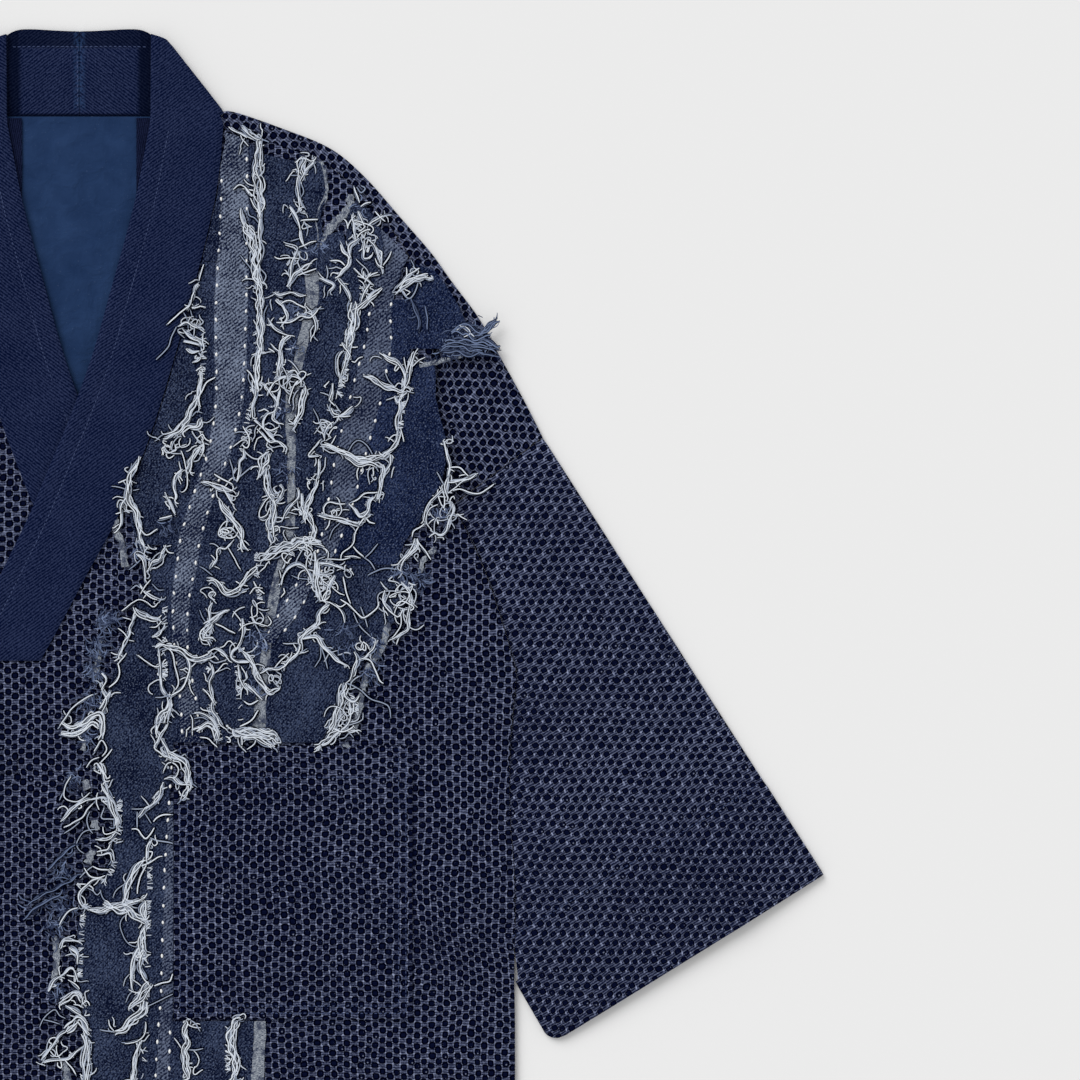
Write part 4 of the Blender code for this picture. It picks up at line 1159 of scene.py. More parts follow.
def addStrip(number, strip, extra):
    table = [row for row in strip.table if strip.low <= row.y <= strip.top]
    tops = slants.get(strip.node, (strip.top, strip.top))
    count = max(4, round((strip.top - strip.low) / stripLook["cell"]))
    rows = []
    for k in range(count + 1):
        leftY, rightY = [min(max(blendTo(strip.low, end, k / count), strip.low + cloth["seam"]),
                             end - cloth["seam"])
                         for end in tops]
        left = seamX(table, strip.left, leftY) - stripLook["overlap"]
        if strip.table is upperSeams and strip.left == "edge":
            left = max(left, curveAt(bandTable, "outer", leftY) + stripLook["clear"])
        right = max(seamX(table, strip.right, rightY) + stripLook["overlap"], left + 1.5)
        if strip.right == "pale2" and strip.table is lowerSeams:
            right = min(right, pocket["left"] - 0.4)
        rows.append((left, leftY, right, rightY))
    shift = stripLook["stagger"] * (number % 3)
    widths = [row[2] - row[0] for row in rows]

    def top(x, y, rowNumber, share):
        # raw edges lift a little; the cloth puckers between its stitches
        width = widths[rowNumber]
        toEdge = min(share, 1 - share) * width
        height = stripTop(x, y) + shift
        height += stripLook["lift"] * (1 - smooth(toEdge / 3.5)) * (0.5 + noise.noise(Vector((x / 9, y / 9,
                                                                                              2.2))))
        height += stripLook["pucker"] * noise.noise(Vector((x / 8, y / 15, 9.1)))
        height += stripLook["crease"] * noise.noise(Vector(((x + y * 0.5) / 5, (y - x * 0.5) / 24, 4.7)))
        return height - 0.3 * (1 - smooth(toEdge / 0.8))

    across = max(3, round(max(widths) / stripLook["cell"]))
    piece = laySheet(strip.node.replace("_", " ").title().replace(" ", ""), rows, graded(across, 0.35),
                     lambda x, y: onFront(x, y) + shift * 0.5, top, strip.finish, turned(0))
    width, length, area = sheetSize(rows)
    declare(piece, [strip.node], (max(0.0105, area / length), length), None)


def addStrips():
    sewnOn = {}
    for name, (node, finish, rough, corners) in scraps.items():
        sewnOn[node] = [addScrap(name, finish, rough, corners)]
    spool = newSpool()
    for line in ribbonScraps.strip().splitlines():
        width, points = line.split(":")
        layRibbon(spool, [Vector([float(value) for value in point.split(",")]) for point in points.split()],
                  float(width))
    piece = windOff(spool, "ribbonScraps", "ribbon")
    sewnOn["ribbon_long"] = [piece]
    for number, strip in enumerate(strips):
        addStrip(number, strip, sewnOn.get(strip.node, ()))


pocket = {"left": 66.5, "right": 233.0, "top": -81.9, "low": -273.0, "hem": 22.0}


def pocketTop(x, y):
    toEdge = min(x - pocket["left"], pocket["right"] - x, y - pocket["low"], pocket["top"] - y)
    height = onFront(x, y) + cloth["wall"] + 0.5 + 0.5 * smooth(toEdge / 30)
    height -= 0.9 * (1 - smooth(toEdge / 2.5))
    for row in (4.5, 9.5):
        if y < pocket["top"] - 14:
            height -= 0.3 * (1 - smooth(abs(toEdge - row) / 2.2))
    return height


def addPocket():
    rows = []
    for share in graded(50, 0.5):
        y = blendTo(pocket["low"], pocket["top"], share)
        rows.append((pocket["left"], y, pocket["right"], y))
    piece = laySheet("patchPocket", rows, graded(46, 0.5), onFront, lambda x, y, i, s: pocketTop(x, y),
                     "body",
                     lambda x, y, z: (x + 2.2, y + 1.4))
    width, length, area = sheetSize(rows)
    declare(piece, ["pocket"], (width, length), area)


addBack()
addLining()
addFront("frontLeft", 1, "front_left")
addFront("frontRight", -1, "front_right")
print("body laid")
for side, word in ((1, "Left"), (-1, "Right")):
    addShoulder("shoulder" + word, side, "shoulder_" + word.lower())
    addSleeve("sleeve" + word, side, "sleeve_" + word.lower())
    addCollar("collar" + word, side, "collar_" + word.lower())
print("sleeves and collar laid")
addStrips()
addPocket()
print("strips and pocket laid")


# Threads and stitches

def threadBed(x, y):
    # what the loose threads lie on: strips, pocket, plain front or collar band
    height = onFront(x, y) + cloth["denim"] + 0.55
    if pocket["left"] < x < pocket["right"] and pocket["low"] < y < pocket["top"]:
        height += 0.9
    if y > front["bandEnd"]:
        height += 1.7 * smooth((curveAt(bandTable, "outer", y) + 1.5 - x) / 1.5)
    return height


fray = {"step": 1.3, "thin": 0.36, "thick": 0.52, "indigo": 2.0, "low": 0.42, "shade": 3.5, "shadeWide": 1.5,
        "gapShadeWide": 0.94, "spread": 1.25, "more": 1.35, "knotEvery": 8.0}


def along(x, y, lift):
    return Vector((x, y, threadBed(x, y) + lift))


def layShade(spool, path, wide=1.0):
    # the cloth beside a thread is dark, where the thread shades it
    low = [along(point.x, point.y, 0.2) for point in path[::2] + path[-1:]]
    if len(low) > 2:
        spin(spool, low, fray["shadeWide"] * wide, fray["shade"], 3, 0.3, 0.12)


def layGapShade(spool, path):
    # painted shade: a dark flat ribbon just under a thread that lies on others, seen as a dark gap on both sides of
    # it
    low = [point - up * 0.16 for point in path[::2] + path[-1:]]
    if len(low) > 2:
        spin(spool, low, fray["gapShadeWide"], fray["shade"], 3, 0.3, 0.1)


def wanderFrom(x, y, heading, length, curl, lift, draw):
    # a loose thread that sets out from a point, bends and curls, and comes to rest on the cloth
    step = fray["step"]
    bend = draw.gauss(0, curl)
    count = max(3, int(length / step))
    path = []
    for k in range(count + 1):
        rise = fray["low"] + lift * (1 - 0.6 * smooth(k / count))
        path.append(along(x, y, rise))
        bend = bend * 0.9 + draw.gauss(0, curl * 0.5)
        heading += bend
        x += math.cos(heading) * step
        y += math.sin(heading) * step
    return path


def layRope(spool, way, strands, width, shade, draw):
    # threads side by side that cross and part, and spread into loose ends
    line = smoothLine(way, fray["step"]) if len(way) > 2 else evenly(way, fray["step"])
    last = len(line) - 1
    strands = round(strands * fray["more"]) if strands > 2 else strands
    bulge = draw.uniform(0, 6.28)
    for i in range(strands):
        rank = ((i + 0.5) / strands - 0.5) * fray["spread"] + draw.gauss(0, 0.1)
        cut = 0.14 if strands > 1 else 0.0
        start, end = int(draw.uniform(0, cut) * last), last - int(draw.uniform(0, cut) * last)
        phase, turn = draw.uniform(0, 6.28), draw.uniform(9, 22)
        layer = (i * 3) % 4
        lift = fray["low"] + draw.uniform(0.0, 0.2) + 0.3 * layer
        path = []
        for k in range(start, end + 1):
            share = k / max(1, last)
            run = line[min(k + 1, last)] - line[max(k - 1, 0)]
            run = run / max(run.length, 1e-6)
            swell = 0.62 + 0.5 * math.sin(math.pi * share) ** 0.7 + 0.22 * math.sin(bulge + share * 5)
            aside = width * (rank * swell + 0.2 * math.sin(phase + k * fray["step"] / turn * 6.28))
            aside += 0.28 * noise.noise(Vector((k * 0.22, phase * 7, i)))
            wave = 0.25 * math.sin(phase * 2 + k * fray["step"] / turn * 6.28)
            path.append(along(line[k].x - run.y * aside, line[k].y + run.x * aside, lift + wave))
        if len(path) < 3:
            continue
        if strands > 2 and draw.random() < 0.45:
            tail = (path[-1] - path[-2]).normalized()
            heading = math.atan2(tail.y, tail.x) + draw.gauss(0, 0.5)
            path += wanderFrom(path[-1].x, path[-1].y, heading, draw.uniform(1.5, 6), 0.3,
                               lift - fray["low"], draw)[1:]
        # strands laid lower take a darker tone: painted shade from the strands over them
        spin(spool, path, draw.uniform(fray["thin"], fray["thick"]),
             shade + 0.02 + 0.24 * layer + draw.uniform(0, 0.22))
        if shade < 1 and (strands < 3 or i % 2 == 0):
            layShade(spool, path)
        if strands > 1 and layer and i % 4 != 2:
            layGapShade(spool, path)
    if strands > 3:
        for k in range(round(len(line) * fray["step"] / fray["knotEvery"])):
            layCurls(spool, line[draw.randrange(len(line))], 1, draw.uniform(1.6, 3.2), shade, draw, 0.55)


def layCurls(spool, centre, count, radius, shade, draw, most=0.95):
    # loops of thread that lie over each other, none of them round
    radius *= 1.3
    for i in range(count):
        turns = draw.uniform(0.4, 1.0) * most
        first = draw.uniform(0, 6.28)
        x, y = centre.x + draw.gauss(0, radius * 0.5), centre.y + draw.gauss(0, radius * 0.6)
        drift = Vector((draw.gauss(0, radius * 0.8), draw.gauss(0, radius * 0.8)))
        size, squash, lean = radius * draw.uniform(0.4, 1.0), draw.uniform(0.3, 0.9), draw.uniform(0, 3.14)
        steps = max(6, int(turns * size * 6.28 / fray["step"]))
        path = []
        for k in range(steps + 1):
            share = k / steps
            angle = first + turns * 6.28 * share
            swell = 1 + 0.5 * noise.noise(Vector((share * 2.5, first * 3, i)))
            a, b = size * swell * math.cos(angle), size * swell * math.sin(angle) * squash
            path.append(along(x + drift.x * share + a * math.cos(lean) - b * math.sin(lean),
                              y + drift.y * share + a * math.sin(lean) + b * math.cos(lean),
                              fray["low"] + 0.25 * (i % 4) + 0.5 * math.sin(3.14 * share)))
        heading = math.atan2(path[-1].y - path[-2].y, path[-1].x - path[-2].x)
        path += wanderFrom(path[-1].x, path[-1].y, heading, draw.uniform(1, 6), 0.2, 0.2, draw)[1:]
        spin(spool, path, draw.uniform(fray["thin"], fray["thick"] - 0.06), shade + draw.uniform(0.3, 0.98))
        if shade < 1:
            layShade(spool, path, 0.9)
            if i % 4:
                layGapShade(spool, path)


def layComb(spool, way, count, reach, side, shade, draw):
    # short ends that stand out from a raw edge, in small groups
    line = smoothLine(way, 1.0)
    last = len(line) - 1
    lean, here = draw.gauss(0, 0.4), draw.random() * last
    for i in range(count):
        if draw.random() < 0.4:
            lean, here = draw.gauss(0, 0.55), draw.random() * last
        here = min(max(here + draw.gauss(0, 2.4), 0), last)
        k = int(here)
        run = line[min(k + 1, last)] - line[max(k - 1, 0)]
        heading = math.atan2(run.y, run.x) - side * (math.pi / 2) + lean + draw.gauss(0, 0.3)
        path = wanderFrom(line[k].x, line[k].y, heading, reach * draw.uniform(0.5, 1.5), 0.16, 0.3, draw)
        spin(spool, path, draw.uniform(fray["thin"] - 0.04, fray["thick"] - 0.06),
             shade + draw.uniform(0.2, 0.98))
        if i % 3 == 0 and shade < 1:
            layShade(spool, path, 0.7)


def layTangle(spool, centre, count, reach, draw):
    # indigo threads matted together
    for i in range(round(count * 2.6)):
        x, y = centre.x + draw.gauss(0, reach * 0.6), centre.y + draw.gauss(0, reach * 0.6)
        path = wanderFrom(x, y, draw.gauss(-1.2, 0.9), reach * draw.uniform(0.6, 1.6), 0.3, 0.2, draw)
        spin(spool, path, draw.uniform(0.34, 0.46), fray["indigo"] + draw.uniform(0.02, 0.95))


# Where the loose threads lie, in millimetres. Each line is one group: what it is, how many
# threads, how wide it is, then the points it passes.
#   r rope of pale threads, B the same in indigo    o curls round a point, with their radius
#   c short ends along an edge, with length and side    b matted indigo threads round a point
frayLines = {
    "fray_collar_side": """
r 2 0.7 : 88,255 85,247 84,241
r 3 1.4 : 85,241 82,237 80,230 78,225
r 3 2.1 : 78,225 81,223 85,225
r 2 0.7 : 80,226 73,221 67,216 62,211
r 1 0 : 74,220 76,216 77,209
r 1 0 : 78,224 80,217 84,214
r 1 0 : 69,210 66,204 64,197 60,192 55,187
r 3 1.4 : 70,210 76,213 80,211 85,209
o 6 2.8 : 80,213
r 4 2.1 : 73,209 78,204 85,200
r 3 1.4 : 74,200 79,199 85,197
r 3 1.4 : 76,195 80,192 85,193
r 3 1.4 : 80,185 83,186 86,189
r 2 0.7 : 83,179 87,182
r 6 2.8 : 86,178 85,168 83,160 78,151 74,143 66,136 57,132
r 2 0.7 : 96,175 90,171 85,162 85,156 87,152
r 1 0 : 87,150 83,151 79,147
r 5 2.8 : 86,147 84,141 77,140 71,136
o 9 4.2 : 64,126
o 6 3.5 : 80,131
o 3 2.1 : 87,125
r 2 0.7 : 86,133 88,126 86,120
r 5 2.8 : 85,127 80,120 78,114 76,109
r 2 0.7 : 71,126 74,118 76,109 76,99 73,95 69,97
r 3 1.4 : 74,112 69,106 67,99 69,92 68,88
r 3 1.4 : 61,95 63,90 66,84 69,78
r 2 1.4 : 56,76 62,77 66,78
r 6 2.8 : 44,121 41,113 37,106 36,98 36,90 41,81 43,71 44,62 47,53
r 1 0 : 38,115 37,108
r 3 1.4 : 36,92 31,86 31,79 31,74 29,70
o 3 2.1 : 36,84
r 1 0 : 24,99 31,98 37,96 43,97
r 2 0.7 : 43,70 48,65 56,69
c 26 3.5 -1 : 85,217 86,202 86,188 85,175
b 14 5.6 : 63,71
b 8 6.3 : 42,58
""",
    "fray_inner": """
r 4 2.1 : 62,58 59,51 57,48 52,45 50,41
o 2 2.1 : 54,42
r 3 1.4 : 41,52 46,48 47,42 47,34
r 1 0 : 36,41 41,45 44,48
o 3 2.8 : 48,55
r 3 1.4 : 43,31 46,27 52,22 57,20
r 2 0.7 : 51,34 47,29 44,24
r 1 0 : 37,27 41,30 44,28 48,29
r 1 0 : 52,31 56,27 60,27
r 2 0.7 : 31,12 35,15 39,18 43,20 48,18 53,15 57,19
r 4 2.8 : 39,15 43,11 48,8 52,6 58,7
r 4 2.1 : 41,12 39,7 37,1 36,-4 34,-8 31,-14 29,-22
r 2 0.7 : 28,0 32,-3 35,-7
r 2 0.7 : 34,-17 31,-21 28,-25
r 2 0.7 : 50,1 55,1 59,5
r 3 1.4 : 52,-6 56,-4 59,-1
c 30 2.8 -1 : 59,20 59,-1 59,-19 59,-34
r 5 2.8 : 55,-14 58,-11 64,-13 71,-15 77,-19 84,-22 90,-20 95,-18
r 3 1.4 : 91,-17 96,-14 101,-17 105,-21
r 1 0 : 91,-21 96,-24 103,-22
r 3 1.4 : 74,-18 77,-22 78,-29 76,-36 72,-42 67,-46 63,-48
r 3 1.4 : 63,-48 59,-42 58,-34 57,-22 57,-14
r 2 0.7 : 62,-13 66,-18 68,-28 70,-38 67,-45
r 2 0.7 : 41,-18 46,-22 52,-26 56,-27 59,-25
r 1 0 : 54,-48 59,-48 64,-46
r 5 2.8 : 65,-48 63,-55 59,-59 56,-64 55,-71 57,-76
r 4 2.1 : 65,-50 64,-57 62,-63
o 5 2.8 : 59,-66
r 3 1.4 : 63,-66 60,-71 56,-78 54,-83 58,-87 63,-90
r 3 2.1 : 58,-77 62,-84 65,-90
r 7 3.5 : 59,-87 64,-88 70,-90 75,-95 77,-104 77,-111 75,-116 73,-120
r 2 0.7 : 59,-101 62,-95 66,-94 70,-98 67,-104 62,-104
r 4 2.1 : 60,-105 66,-104 71,-108 77,-109
r 1 0 : 77,-106 83,-111
r 4 2.1 : 60,-106 58,-113 56,-118 52,-123 46,-127 42,-132
r 1 0 : 37,-126 43,-126 49,-125 55,-122
r 1 0 : 46,-129 49,-133 51,-136
r 2 0.7 : 52,-136 55,-132 59,-130 66,-130
r 1 0 : 41,-128 41,-139
r 2 0.7 : 36,-140 41,-140 44,-144 47,-147 50,-144 53,-139
r 1 0 : 50,-146 55,-148 62,-149 66,-150
r 3 1.4 : 51,-147 48,-154 48,-161
r 5 2.8 : 48,-161 43,-164 38,-171 35,-178 33,-186 31,-192
r 2 0.7 : 48,-164 45,-169 42,-176 41,-185
r 1 0 : 24,-188 27,-182 33,-178
c 36 2.8 -1 : 48,-164 48,-180 47,-194 47,-215
r 5 3.5 : 32,-194 36,-197 41,-202 47,-204
r 5 3.5 : 47,-190 45,-196 47,-204
r 1 0 : 35,-199 31,-202 29,-207 31,-214 35,-220 41,-222 44,-219
r 6 3.5 : 47,-206 45,-214 44,-221 43,-230
o 5 2.1 : 46,-227
r 3 2.1 : 43,-221 39,-230 38,-238 37,-246 38,-253
r 4 2.1 : 46,-225 43,-236 46,-243 49,-248
r 8 4.2 : 50,-247 46,-253 41,-259 37,-264
r 2 0.7 : 52,-250 59,-247 64,-246 66,-241
r 1 0 : 42,-266 49,-263 56,-260 66,-255
r 1 0 : 33,-261 35,-256 38,-253
r 8 4.2 : 47,-260 44,-267 38,-273 32,-279 25,-282
r 1 0 : 15,-280 21,-281 26,-282
r 2 0.7 : 21,-273 22,-277 25,-281
r 2 0.7 : 47,-273 46,-283 42,-287 35,-289 30,-289
r 6 2.8 : 44,-287 41,-295 39,-305 38,-318
r 6 2.8 : 39,-308 38,-323 36,-344 36,-365 35,-390 36,-416
c 50 2.8 -1 : 47,-225 46,-253 45,-288 43,-330 41,-372 39,-416
""",
    "fray_front_edge": """
r 2 0.7 : 10,-88 14,-82 17,-78 20,-84 16,-90
r 2 0.7 : 24,-84 20,-89 15,-94
r 2 0.7 : 6,-97 10,-92 15,-90
r 5 2.8 : 14,-94 17,-99 19,-106
r 2 0.7 : 10,-98 13,-94 16,-101 10,-98
r 2 0.7 : -4,-101 -7,-106 -10,-112 -10,-117 -7,-120 -1,-121 4,-118 8,-115 12,-111
r 1 0 : -13,-120 -10,-113 -7,-106
r 7 3.5 : 17,-108 20,-114 22,-120 25,-126 27,-133 27,-139
r 3 1.4 : -13,-136 -8,-130 -3,-125 4,-120 11,-119 18,-118
r 2 0.7 : -10,-139 -4,-136 3,-132 7,-126 12,-120
r 1 0 : -10,-143 -4,-139 1,-135
r 1 0 : 8,-128 6,-133 7,-139 10,-143
r 1 0 : 18,-125 16,-132 22,-133 27,-133
r 1 0 : 12,-140 4,-142 -1,-149 0,-154 4,-157
r 4 2.1 : 12,-147 17,-147 22,-146 27,-141
r 2 0.7 : 17,-137 18,-143 22,-143 27,-141
r 3 1.4 : 13,-158 17,-158 22,-157 24,-163
r 2 0.7 : 13,-156 17,-155 21,-154 23,-149
r 1 0 : 1,-174 6,-169 10,-166
r 2 0.7 : 10,-166 15,-168 22,-169
r 2 0.7 : 4,-167 8,-173 14,-174 20,-172
r 3 1.4 : 18,-175 11,-175 6,-179 1,-185 1,-190 4,-195
r 6 2.1 : 3,-194 8,-196 15,-197 22,-195 30,-193 38,-191 46,-188
r 5 2.8 : 18,-191 24,-195 29,-198 34,-196
r 1 0 : 6,-181 10,-183 13,-186 16,-183
r 1 0 : 15,-182 17,-188 20,-191
c 44 2.8 -1 : 27,-120 27,-141 24,-161 18,-176
r 2 0.7 : -14,-209 -10,-202 -6,-197 1,-195
r 1 0 : -14,-204 -11,-198
c 40 3.5 -1 : 3,-193 1,-204 0,-222 -1,-243
r 3 2.1 : -13,-223 -10,-218 -6,-217 -1,-218
r 4 2.8 : -6,-222 -1,-227 0,-234
r 3 1.4 : -14,-244 -10,-241 -6,-237 -3,-238 -1,-244
r 3 1.4 : -21,-253 -17,-246 -13,-243
r 2 1.4 : -7,-245 -2,-249 1,-253
r 6 2.8 : -13,-262 -8,-258 -3,-255 1,-256 3,-261
r 2 0.7 : 3,-262 6,-260 8,-263
r 4 2.1 : -9,-263 -4,-265 2,-270
r 1 0 : -27,-278 -24,-272 -20,-268 -16,-266 -13,-270 -9,-272
r 1 0 : -24,-273 -19,-274 -13,-276
r 6 3.5 : -9,-280 -4,-276 0,-272 4,-276 6,-282
r 7 3.5 : 3,-281 6,-288 6,-295 6,-304 6,-318
r 3 1.4 : -26,-301 -21,-295 -17,-290 -13,-284 -9,-281
r 3 1.4 : -26,-304 -20,-301 -13,-301 -7,-300 -1,-295 4,-292
o 5 3.5 : -14,-295
r 2 0.7 : -10,-300 -6,-305 -1,-312
r 6 3.5 : 6,-309 7,-330 8,-358 9,-386 9,-416
c 46 3.5 -1 : 3,-260 6,-288 6,-316 7,-351 8,-386 9,-416
b 26 6.3 : 20,7
b 22 6.3 : 14,-12
b 18 6.3 : 11,-29
b 18 6.3 : 8,-50
b 16 6.3 : 4,-71
b 14 5.6 : -4,-106
b 22 7 : -13,-192
b 16 6.3 : -17,-208
b 12 5.6 : -11,-169
b 10 5.6 : -14,-253
B 4 2.1 : -38,-194 -28,-187 -18,-182 -7,-176 -1,-172
B 3 1.4 : -21,-168 -14,-161 -7,-154 -1,-150
B 3 1.4 : -38,-203 -31,-196 -21,-190 -13,-186
r 2 0.7 : -14,-70 -8,-62 -3,-55 4,-50 13,-45
r 5 2.1 : -13,-64 -6,-69 3,-67 10,-62 16,-60 17,-69 16,-78
r 5 2.1 : -13,-73 -4,-74 4,-71 10,-66 15,-69
r 4 2.1 : 17,-43 20,-50 17,-59
r 3 1.4 : 23,-43 20,-49 15,-56
r 3 1.4 : 17,-31 20,-36 17,-43
r 2 0.7 : 28,-24 29,-31 27,-36 22,-41
""",
    "fray_middle": """
r 4 2.1 : 114,351 118,346 123,342 128,341
r 3 1.4 : 105,350 111,346 119,342
r 4 2.8 : 126,343 125,335 124,326 123,317
r 3 2.1 : 127,343 127,333 127,325 127,316
r 5 4.2 : 124,321 124,314 125,305 127,296 127,289
r 4 2.1 : 127,300 127,289 127,280 127,272 127,262
r 2 0.7 : 108,306 112,309 116,308 120,303 125,300
r 2 0.7 : 116,308 118,304 121,301
r 2 0.7 : 120,300 122,295 125,291 127,286
r 1 0 : 118,293 119,288 123,286 127,281
r 4 2.1 : 113,293 115,284 118,278 122,273
r 9 5.6 : 116,283 120,274 123,268 124,261 124,253 124,246 126,239
r 6 3.5 : 124,252 125,244 127,236 127,227 127,216
r 1 0 : 113,260 117,255 121,250
r 1 0 : 127,251 131,246 129,241 126,239
r 2 0.7 : 129,314 130,308 127,302
r 1 0 : 132,225 130,220 130,214
r 6 3.5 : 127,221 127,211 127,200 127,189
r 5 2.8 : 127,195 125,185 125,175 125,165
r 4 1.4 : 125,170 124,161 122,154 122,146
r 2 0.7 : 118,180 121,176 124,169
r 1 0 : 120,179 119,174 123,166
r 3 1.4 : 127,172 132,167 136,162 139,157 137,151
r 4 1.4 : 123,145 129,140 133,136 138,130
r 2 0.7 : 127,141 134,138 140,140
o 8 4.2 : 118,132
r 1 0 : 109,136 113,137 119,136
r 3 1.4 : 116,125 116,120 113,116 113,109 111,102
r 1 0 : 114,121 118,118
r 1 0 : 106,118 108,111 109,103
r 1 0 : 111,104 116,108 122,113
r 2 0.7 : 94,108 99,105 105,102 109,99
r 5 2.1 : 86,102 92,101 99,98 105,96 108,96
r 3 1.4 : 101,98 104,94 107,89
r 5 2.8 : 99,90 102,84 106,78 111,73 114,66 115,57
o 7 4.2 : 104,69
r 3 1.4 : 109,62 104,56 99,56 97,52 97,48 93,42
r 2 0.7 : 105,56 109,49 114,40
r 2 0.7 : 114,62 116,57 119,54
r 1 0 : 85,43 89,41 94,37
r 6 2.8 : 90,34 95,34 100,29 104,25 110,26 114,29
r 5 2.1 : 112,27 116,33 120,38 125,43
o 3 2.8 : 92,25
r 3 1.4 : 94,18 92,13 92,5
r 6 2.1 : 106,13 101,11 96,7 92,4
r 1 0 : 85,13 87,8 90,3
r 7 4.2 : 93,4 90,-1 88,-6 92,-7
o 3 2.1 : 90,-4
r 2 0.7 : 95,4 101,1 106,-2 111,-4
r 3 2.1 : 93,-24 94,-31 92,-37 93,-44 94,-50
r 2 0.7 : 87,-42 91,-46 94,-51
r 4 2.1 : 94,-50 94,-57 97,-62 100,-67 104,-71
r 1 0 : 90,-55 92,-60
r 3 1.4 : 80,-59 86,-59 92,-62 96,-67 98,-74
r 6 2.8 : 80,-72 85,-69 91,-67 96,-71 97,-78
r 2 0.7 : 85,-76 91,-77 94,-80 97,-83
r 1 0 : 81,-63 87,-62 92,-65
c 30 2.8 1 : 125,209 127,188 123,160 119,139
c 22 2.8 1 : 93,-8 93,-29 94,-50 101,-77
r 5 2.8 : 76,-274 74,-281 76,-288 74,-295 75,-304 77,-315
o 3 2.1 : 75,-274
o 4 2.8 : 81,-307
r 1 0 : 77,-294 82,-294 87,-293
r 1 0 : 78,-273 82,-276 85,-281
r 4 2.1 : 77,-314 76,-337 77,-365 76,-393 76,-416
b 10 5.6 : 77,-365
r 8 4.2 : 115,-272 111,-274 108,-280 106,-287 108,-294 110,-302 109,-316
r 8 3.5 : 109,-311 108,-337 109,-365 108,-393 108,-416
c 34 2.8 1 : 106,-274 106,-302 108,-337 109,-416
""",
    "fray_ribbon": """
r 7 5.6 : 157,329 156,323 155,316
r 3 1.4 : 151,325 156,328 162,326
r 4 2.1 : 165,326 160,321 156,315
r 4 2.1 : 154,316 153,308 154,301 155,295
r 1 0 : 155,311 157,305 155,301
r 1 0 : 148,316 153,316
r 3 1.4 : 147,295 150,290 153,284 155,278
o 4 2.1 : 156,291
r 2 0.7 : 154,284 161,285 167,285
r 1 0 : 157,283 160,279 159,273
r 3 1.4 : 155,279 155,273 157,267
r 1 0 : 148,270 155,272
r 2 0.7 : 153,265 160,268 166,270
r 4 2.1 : 153,264 150,256 148,249 148,242
o 7 4.2 : 155,256
r 4 2.1 : 163,255 157,251 151,246 146,238
r 2 0.7 : 166,251 160,249 153,246
r 1 0 : 145,254 150,256
r 3 1.4 : 136,235 141,232 148,234 154,232 159,232
r 3 1.4 : 137,230 143,224 146,217 143,212
r 2 0.7 : 140,225 147,228 154,225 160,222
r 4 2.1 : 141,213 148,214 155,218 162,217 167,223
r 3 1.4 : 158,221 164,218 166,211 164,203
b 14 5.6 : 148,223
b 12 5.6 : 161,265
r 3 1.4 : 132,216 136,210 141,206 146,204
r 2 0.7 : 134,199 137,195 141,192
r 2 0.7 : 133,195 137,192
r 5 2.1 : 148,204 143,200 141,193 141,186 140,178
b 16 5.6 : 147,195
o 10 5.6 : 147,169
r 3 1.4 : 132,162 137,171 144,175 153,175 158,169
r 5 2.8 : 158,169 157,160 155,151 153,146 151,141
r 3 1.4 : 141,167 139,158 137,151 132,149 129,144 130,139
r 3 1.4 : 137,151 136,146 140,143
b 16 5.6 : 141,153
r 3 1.4 : 125,139 130,134 134,130 140,130 146,125
r 6 4.2 : 134,123 130,116 128,108
r 4 2.8 : 132,111 132,102 134,94 137,87
c 30 2.8 -1 : 132,126 129,111 133,90 136,62
r 3 1.4 : 140,101 143,97 141,91 137,87
o 6 2.8 : 137,92
r 2 0.7 : 134,92 130,88 127,82 127,77 132,79 134,85
r 6 3.5 : 136,90 136,81 134,71 136,61
o 5 3.5 : 141,70
r 3 1.4 : 154,98 153,90 147,84 143,76
b 14 5.6 : 144,111
r 9 4.2 : 125,48 132,51 140,55 148,58 157,61 165,61 172,57
o 8 4.2 : 158,52
o 4 2.8 : 148,52
r 4 1.4 : 141,28 144,38 148,43 153,45 158,43 162,37 164,30
r 2 0.7 : 120,24 124,28 129,28
r 2 0.7 : 122,34 125,28 130,24
c 30 3.5 1 : 127,50 127,34 129,20
o 6 4.2 : 122,11
r 2 0.7 : 111,-4 116,2 123,4 130,2 135,1
r 4 1.4 : 115,7 116,-1 114,-8 112,-13
r 1 0 : 123,4 127,-3 131,-10 132,-16
r 5 2.1 : 112,-13 117,-18 122,-25 125,-34 130,-41 134,-45 140,-42
r 4 1.4 : 112,-13 108,-16 107,-20 111,-23 116,-23 122,-23
r 4 1.4 : 127,-31 133,-28 140,-28 146,-25
o 5 2.8 : 137,-36
b 18 5.6 : 127,-8
b 14 5.6 : 125,-43
r 3 1.4 : 112,-25 113,-34 115,-39 119,-43
c 30 3.5 1 : 113,-26 114,-43 115,-59 116,-70
r 4 2.1 : 118,-39 122,-43 125,-46
r 2 0.7 : 115,-50 120,-53 126,-50
r 9 4.2 : 107,-71 113,-72 120,-72 129,-74 136,-75 139,-80
r 6 2.8 : 113,-76 122,-76 130,-79 137,-83
r 3 1.4 : 108,-70 109,-74 113,-75
r 2 0.7 : 112,-69 118,-66 123,-62 126,-57
r 2 0.7 : 114,-75 114,-83
r 2 0.7 : 127,-70 132,-72 136,-71
""",
